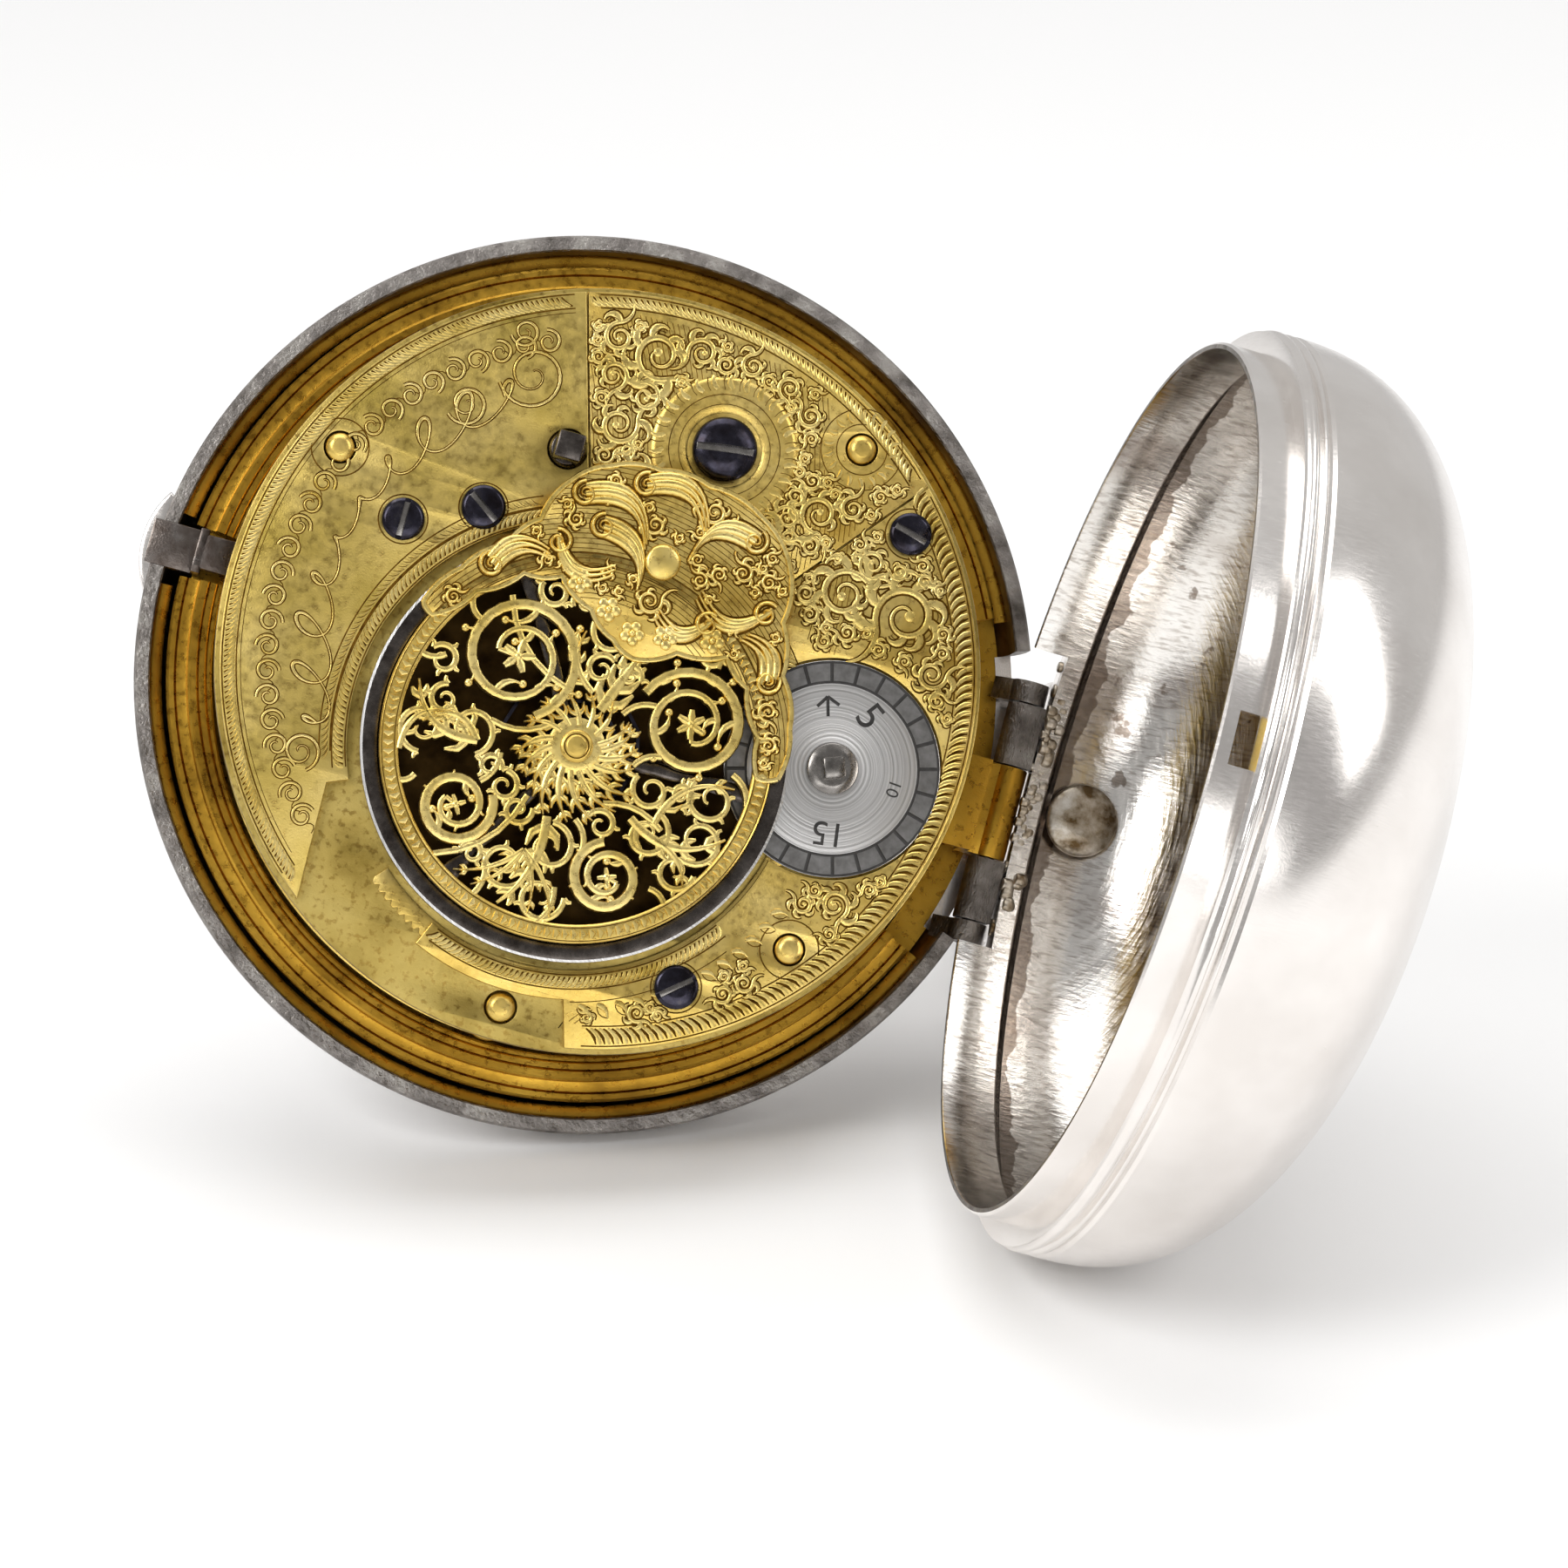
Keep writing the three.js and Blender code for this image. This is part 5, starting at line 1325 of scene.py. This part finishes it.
def screw_rosette(z):
    """A dished ring with bright-cut scallops round the cock's screw: the scallops are in the lighter
    painted-highlight gilding, with painted-shade cuts between them.
    """
    dish = rounded([(2.15, z - 0.05), (2.4, z + 0.06), (2.7, z + 0.12), (4.25, z + 0.12), (4.5, z)], 0.08)
    parts = [turned(dish + [(4.5, z - 0.1), (2.15, z - 0.1)], *COCK_SCREW, 96)]
    for i in range(26):
        a = 360 * i / 26
        scallop = bent(around(*COCK_SCREW, 3.75, a), around(*COCK_SCREW, 4.6, a + 2), 0.15, 4)
        parts.append(stroke(scallop, taper(5, 0.5, 0.7), z + 0.02, 0.16, PAINTED_HIGHLIGHT))
        between_them = bent(around(*COCK_SCREW, 3.7, a + 7), around(*COCK_SCREW, 4.55, a + 7), 0.1, 3)
        parts.append(cut(between_them, 0.07, z + 0.11))
    for r, width in ((3.4, 0.06), (2.8, 0.05)):
        parts.append(cut(arc(*COCK_SCREW, r, 0, 360, 60), width, z + 0.12))
    return parts


def carved_neck(outline):
    """The neck's carving: bundles of waving stems round a plain boss, rosettes below, scrolls between."""
    z = TABLE_Z[1]
    parts = hatching(outline, [], HUB, z)
    inner = [(HUB[0] + (x - HUB[0]) * 0.99, HUB[1] + (y - HUB[1]) * 0.99) for x, y in outline]
    taken = [(*around_hub(*NECK_BOSS), 1.3)]
    for (a0, r0), (a1, r1), _ in WAVES:
        taken += [(*around_hub(a0, r0), 0.75), (*around_hub((a0 + a1) / 2, (r0 + r1) / 2), 0.9)]
    taken += [(*around_hub(*spot), 0.8) for spot in ROSETTES]
    scrolls = pack_circles(inner, taken, (1.15, 0.9, 0.7, 0.55, 0.42), 500, 0.0, 0.8)
    for i, (x, y, r) in enumerate(scrolls):
        parts += leafy_scroll(x, y, r, random.uniform(0, 360), 1 if i % 2 else -1, z, 0.12)
    for (a0, r0), (a1, r1), bow in WAVES:
        for row in (-1, 1, 0):
            strand = bent(around_hub(a0, r0 + 0.46 * row), around_hub(a1, r1 + 0.3 * row), bow, 10)
            parts += relief(strand, taper(11, 0.62, 0.35, 0.6), z, 0.28 - 0.05 * abs(row))
        volute = spiral(*around_hub(a0, r0), 0.78, a0, 1.4, 1 if bow > 0 else -1, 0.15)
        parts += relief(volute, taper(len(volute), 0.3, 0.6, 0.8), z, 0.34)
    for spot in ROSETTES:
        parts += small_rosette(*around_hub(*spot), z)
    boss = [(0, z), (1.15, z), (1.0, z + 0.26), (0, z + 0.42)]
    parts.append(lathe(boss, *around_hub(*NECK_BOSS), 32, 0.3, 3, material=PAINTED_HIGHLIGHT))
    parts.append(stroke(outline + outline[:1], 0.34, z - 0.02, 0.14, PAINTED_HIGHLIGHT))
    return parts


def small_rosette(x, y, z, petals=5):
    petal = [(0, z), (0.36, z), (0.32, z + 0.2), (0, z + 0.28)]
    heart = [(0, z), (0.22, z), (0.2, z + 0.3), (0, z + 0.38)]
    spots = [around(x, y, 0.46, 360 / petals * k) for k in range(petals)]
    parts = [lathe(petal, *spot, 14, 0.14, 3, material=PAINTED_HIGHLIGHT) for spot in spots]
    return parts + [lathe(heart, x, y, 12, material=PAINTED_HIGHLIGHT)]


# ---------------------------------------------------------------- screws and steelwork
SCREW_FOOT = COVER_Z[1] + 0.02


def make_screw(name, spot, r, height, edge, angle, width, depth, corner, sides):
    """A screw from the top plate up: its shank, its head's rounded edge and its slot."""
    top = SCREW_FOOT + height
    profile = [(0, 8.8), (0.62, 8.8), (0.62, SCREW_FOOT), (r, SCREW_FOOT), *edge(top), (0, top + 0.08)]
    head = lathe(profile, *spot, sides, *corner)
    piece(name + "_head", "movement", ["blued", "steel_bright"],
          slotted(head, *spot, r, top, angle, width, depth), [name])


def make_screws():
    rows = ((NAME_SCREWS[0], 1.3, 90), (NAME_SCREWS[1], 1.35, -35), (SLIDE_SCREWS[0], 1.3, -15),
            (SLIDE_SCREWS[1], 1.35, 40))
    names = ("name_plate_screw_1", "name_plate_screw_2", "slide_plate_screw_1", "slide_plate_screw_2")
    for name, (spot, r, angle) in zip(names, rows):
        make_screw(name, spot, r, 0.36, lambda top, r=r: [
            (r, top - 0.16), (r - 0.2, top - 0.03), (r * 0.5, top + 0.05)], angle, 0.38, 0.2, (0.06,), 48)
    make_screw("cock_screw", COCK_SCREW, 2.0, 0.95, lambda top: [
        (2.0, SCREW_FOOT + 0.42), (1.85, SCREW_FOOT + 0.62), (1.5, top - 0.14), (0.9, top + 0.02)],
        8, 0.46, 0.4, (0.2, 4), 64)


def make_balance():
    z0, z1 = 10.5, 11.1
    ring = [(11.9, z0), (13.0, z0), (13.0, z1), (11.9, z1)]
    # a thin ring in the silvered material on the rim's outer top edge: painted highlight of its lit edge
    edge = [(12.85, z1 - 0.1), (13.0, z1 - 0.12), (13.0, z1), (12.85, z1 + 0.03)]
    parts = [lathe(ring, *HUB, 200, 0.1), turned(edge, *HUB, 200, material=1)]
    for i in range(3):
        arm = [around_hub(120 * i, r) for r in (0.9, 4, 8, 12.1)]
        parts.append(ribbon(arm, [1.5, 0.9, 0.85, 1.3], z0 + 0.08, z1 - 0.05, 0.08, 0))
    parts.append(lathe([(0.47, z0), (1.6, z0), (1.6, z1), (0.47, z1)], *HUB, 40))
    piece("balance_rim", "balance", ["steel_dark", "silvered"], parts, ["balance_wheel"])
    softened("verge_staff", "balance", "steel", bevel=0)
    softened("hairspring", body_with("hairspring"), "blued", bevel=0)


def wheel(x, y, r, teeth, z0, z1, arms, hub, rim=1.1, depth=0.42):
    """A spoked wheel with rounded teeth, as one plate."""
    step = 360 / teeth
    tooth = ((depth, -0.26), (depth * 0.35, -0.2), (0, 0), (depth * 0.35, 0.2), (depth, 0.26))
    outline = [around(x, y, r - down, i * step + step * share) for i in range(teeth) for down,
               share in tooth]
    holes = [circle(0.35, x, y, 24)]
    for i in range(arms):
        span = 360 / arms
        holes.append(ring_part(x, y, r - depth - rim, hub, i * span + 8, (i + 1) * span - 8, 20))
    return plate([outline, *holes], z0, z1, 0.03)


def rod(x, y, r, z0, z1):
    return lathe([(0, z0), (r, z0), (r, z1), (0, z1)], x, y, 24, 0.05)


def make_fusee():
    x, y = FUSEE.x, FUSEE.y
    turns = 40
    cone = [(0, 2.5)]
    for i in range(turns):
        t = i / (turns - 1)
        cone.append((2.7 + 3.0 * (1 - t) ** 1.5 + (0.0 if i % 5 in (0, 1, 2) else 0.3), 2.6 + 5.2 * t))
    cone += [(2.3, 8.05), (0, 8.05)]
    parts = [wheel(x, y, 10.2, 60, 1.8, 2.3, 4, 6.3, 1.2),
             lathe([(0, 2.2), (6.2, 2.2), (6.2, 2.6), (0, 2.6)], x, y, 96), turned(cone, x, y, 96),
             rod(x, y, 0.5, 0.85, 2.3)]
    piece("fusee_cone", "fusee", ["brass"], parts, ["fusee"])
    arbor = lathe([(0, 8.0), (1.1, 8.0), (1.15, 10.3), (1.0, 10.6), (0, 10.6)], x, y, 40, 0.06)
    half = 0.84
    square = block((x - half, x + half), (y - half, y + half), (10.3, 12.3), 0.16)
    piece("winding_square", "fusee", ["steel_dark"], [arbor, square])


def make_train():
    make_fusee()
    x, y, r = BARREL.x, BARREL.y, 7.2
    drum = [(0.8, 1.35), (r, 1.35), (r, 7.65), (r - 0.5, 7.65), (r - 0.5, 1.85), (0.8, 1.85)]
    lid = [(0.8, 7.75), (r, 7.75), (r, 8.25), (r - 0.9, 8.25), (r - 1.0, 8.18), (r - 1.1, 8.25), (0.8, 8.25)]
    for name, profile, node in (("barrel_drum", drum, "barrel"), ("barrel_lid", lid, "barrel_cover")):
        piece(name, "barrel", ["brass"], [lathe(profile, x, y, 128, 0.06)], [node])
    piece("third_wheel_cut", "third", ["brass"], [
        wheel(*THIRD, 6.3, 54, 1.8, 2.2, 4, 1.7, 0.8), rod(*THIRD, 0.4, 0.85, 8.5),
        wheel(*THIRD, 1.05, 7, 1.0, 1.6, 0, 0, depth=0.35)], ["third_wheel"])
    piece("centre_wheel_cut", "centre", ["brass"], [
        wheel(0, 0, 7.2, 64, 1.0, 1.4, 4, 1.7, 0.8), rod(0, 0, 0.5, -0.5, 8.5),
        wheel(0, 0, 1.5, 10, 1.3, 2.5, 0, 0, depth=0.4)], ["centre_wheel"])
    brass = ("contrate_wheel", "crown_wheel", "minute_wheel", "hour_wheel", "potence", "counter_potence")
    steel = ("barrel_arbor", "mainspring", "fusee_chain", "cannon_pinion", "bolt_spring")
    for look, nodes in (("brass", brass), ("steel", steel)):
        for node in nodes:
            softened(node, body_with(node), look, bevel=0.03)


# ---------------------------------------------------------------- regulator
def make_regulator():
    x, y = DISC
    z0, z1 = 9.98, 10.3
    disc = [(0.85, z0), (6.6, z0), (6.6, z1 - 0.03), (6.52, z1), (5.32, z1), (5.26, z1 - 0.05), (5.2, z1),
            (0.85, z1)]
    band = [(5.26, z1 - 0.1), (6.5, z1 - 0.1), (6.5, z1 + 0.006), (5.26, z1 + 0.006)]
    parts = [lathe(disc, x, y, 128, 0.02), turned(band, x, y, 128, material=2)]
    for i in range(24):
        parts.append(ink_line([around(x, y, r, 15 * i) for r in (5.3, 6.46)], 0.22, z1 + 0.01))
    parts += [ink_line(arc(x, y, r, 0, 360, 72), 0.16, z1 + 0.01) for r in (5.28, 6.5)]
    up = heading(CAMERA_UP)
    for text, bearing, size, turn in (("5", -36, 2.5, -52), ("15", 176, 2.1, 172), ("10", -108, 1.1, -110),
                                      ("20", 112, 1.1, 110)):
        parts.append(figures(text, *around(x, y, 3.9, up + bearing), z1, size, up - 90 + turn))
    tip = around(x, y, 4.4, up + 3)
    for foot in (around(x, y, 3.2, up + 4), around(x, y, 3.9, up - 7), around(x, y, 3.9, up + 13)):
        parts.append(ink_line([foot, tip], 0.2, z1))
    piece("regulator_dial", "regulator", ["silvered", "ink", "silvered_dark"], parts,
          ["regulator_disc"], smooth=30)
    hub = [(0, 9.0), (0.75, 9.0), (0.75, z1), (1.6, z1 + 0.02), (1.55, z1 + 0.3), (1.1, z1 + 0.42),
           (0, z1 + 0.42)]
    half = 0.65
    square = block((x - half, x + half), (y - half, y + half), (z1 + 0.3, z1 + 1.4), 0.14, 0, 20, (x, y))
    pinion = wheel(x, y, 1.0, 10, 9.66, 9.92, 0, 0, depth=0.3)
    piece("regulator_hub", "regulator", ["steel_bright"], [lathe(hub, x, y), square, pinion],
          ["regulator_arbor"])


def figures(text, x, y, z, size, turn):
    """Figures of the regulator's scale."""
    curve = bpy.data.curves.new("figures", "FONT")
    curve.body = text
    curve.size = size
    curve.align_x = "CENTER"
    curve.align_y = "CENTER"
    curve.extrude = 0.01
    obj = bpy.data.objects.new("figures", curve)
    bpy.context.scene.collection.objects.link(obj)
    bpy.context.view_layer.update()
    mesh = bpy.data.meshes.new_from_object(obj.evaluated_get(bpy.context.evaluated_depsgraph_get()))
    bpy.data.objects.remove(obj)
    place = Matrix.Translation((x, y, z + 0.008)) @ Matrix.Rotation(math.radians(turn), 4, "Z")
    return [tuple(place @ v.co) for v in mesh.vertices], [list(p.vertices) for p in mesh.polygons], 1


def make_bolt():
    parts = [block((-28.3, -24.8), (0.0, 2.8), (-0.75, 0.1)),
             block((-25.4, -24.8), (0.0, 2.8), (-0.75, 1.6), 0.1),
             block((-25.4, -22.9), (0.3, 2.5), (0.9, 1.6), 0.14)]
    piece("bolt_latch", "bolt", ["steel"], parts, ["bolt"])


# ---------------------------------------------------------------- surroundings
def add_object(name, data):
    obj = bpy.data.objects.new(name, data)
    bpy.context.scene.collection.objects.link(obj)
    return obj


def make_floor():
    half = 1.2
    mesh = bpy.data.meshes.new("floor")
    mesh.from_pydata([(-half, -half, 0), (half, -half, 0), (half, half, 0), (-half, half, 0)], [],
                     [range(4)])
    mesh.materials.append(Nodes("pale_floor").out((0.93, 0.93, 0.93), 0.9, 0.0))
    add_object("floor", mesh)


def make_world():
    """A soft room, brighter behind the watch than in front of it."""
    world = bpy.data.worlds.new("studio")
    world.use_nodes = True
    tree = world.node_tree
    where, parts, ramp = (tree.nodes.new(kind) for kind in (
        "ShaderNodeTexCoord", "ShaderNodeSeparateXYZ", "ShaderNodeMapRange"))
    tree.links.new(where.outputs["Generated"], parts.inputs[0])
    tree.links.new(parts.outputs[1], ramp.inputs["Value"])
    limits = {"From Min": -0.6, "From Max": 0.5, "To Min": WORLD_FRONT, "To Max": WORLD_BACK}
    for key, number in limits.items():
        ramp.inputs[key].default_value = number
    tree.links.new(ramp.outputs[0], tree.nodes["Background"].inputs["Strength"])
    tree.nodes["Background"].inputs["Color"].default_value = (0.99, 0.98, 0.97, 1)
    bpy.context.scene.world = world
    bpy.context.scene.view_settings.view_transform = "Standard"


def make_lights():
    target = Vector((0.0, 0.0, 0.03))
    for name, at, size, watts in LIGHTS:
        light = bpy.data.lights.new(name, "AREA")
        light.shape = "RECTANGLE"
        light.size, light.size_y = size
        light.energy = watts
        lamp = add_object(name, light)
        lamp.location = at
        lamp.rotation_euler = (target - Vector(at)).to_track_quat("-Z", "Y").to_euler()


def make_camera():
    """The photograph's camera, placed in the watch's own frame."""
    camera = bpy.data.cameras.new("camera")
    camera.sensor_fit = "HORIZONTAL"
    camera.angle = math.radians(CAMERA_DEGREES)
    camera.clip_start = 0.01
    right, back = CAMERA_RIGHT, CAMERA_RIGHT.cross(CAMERA_UP).normalized()
    up = back.cross(right).normalized()
    turn = TO_ROW.to_3x3() * (1 / MM)
    axes = Matrix([turn @ v for v in (right, up, back)]).transposed().to_4x4()
    obj = add_object("camera", camera)
    obj.matrix_world = Matrix.Translation(TO_ROW @ CAMERA_SPOT) @ axes
    bpy.context.scene.camera = obj


make_case()
make_front_cover()
make_edge()
make_dial()
make_plates()
make_name_plate()
make_slide_plate()
make_rack()
make_cock()
make_screws()
make_balance()
make_train()
make_regulator()
make_bolt()
make_floor()
make_world()
make_lights()
make_camera()
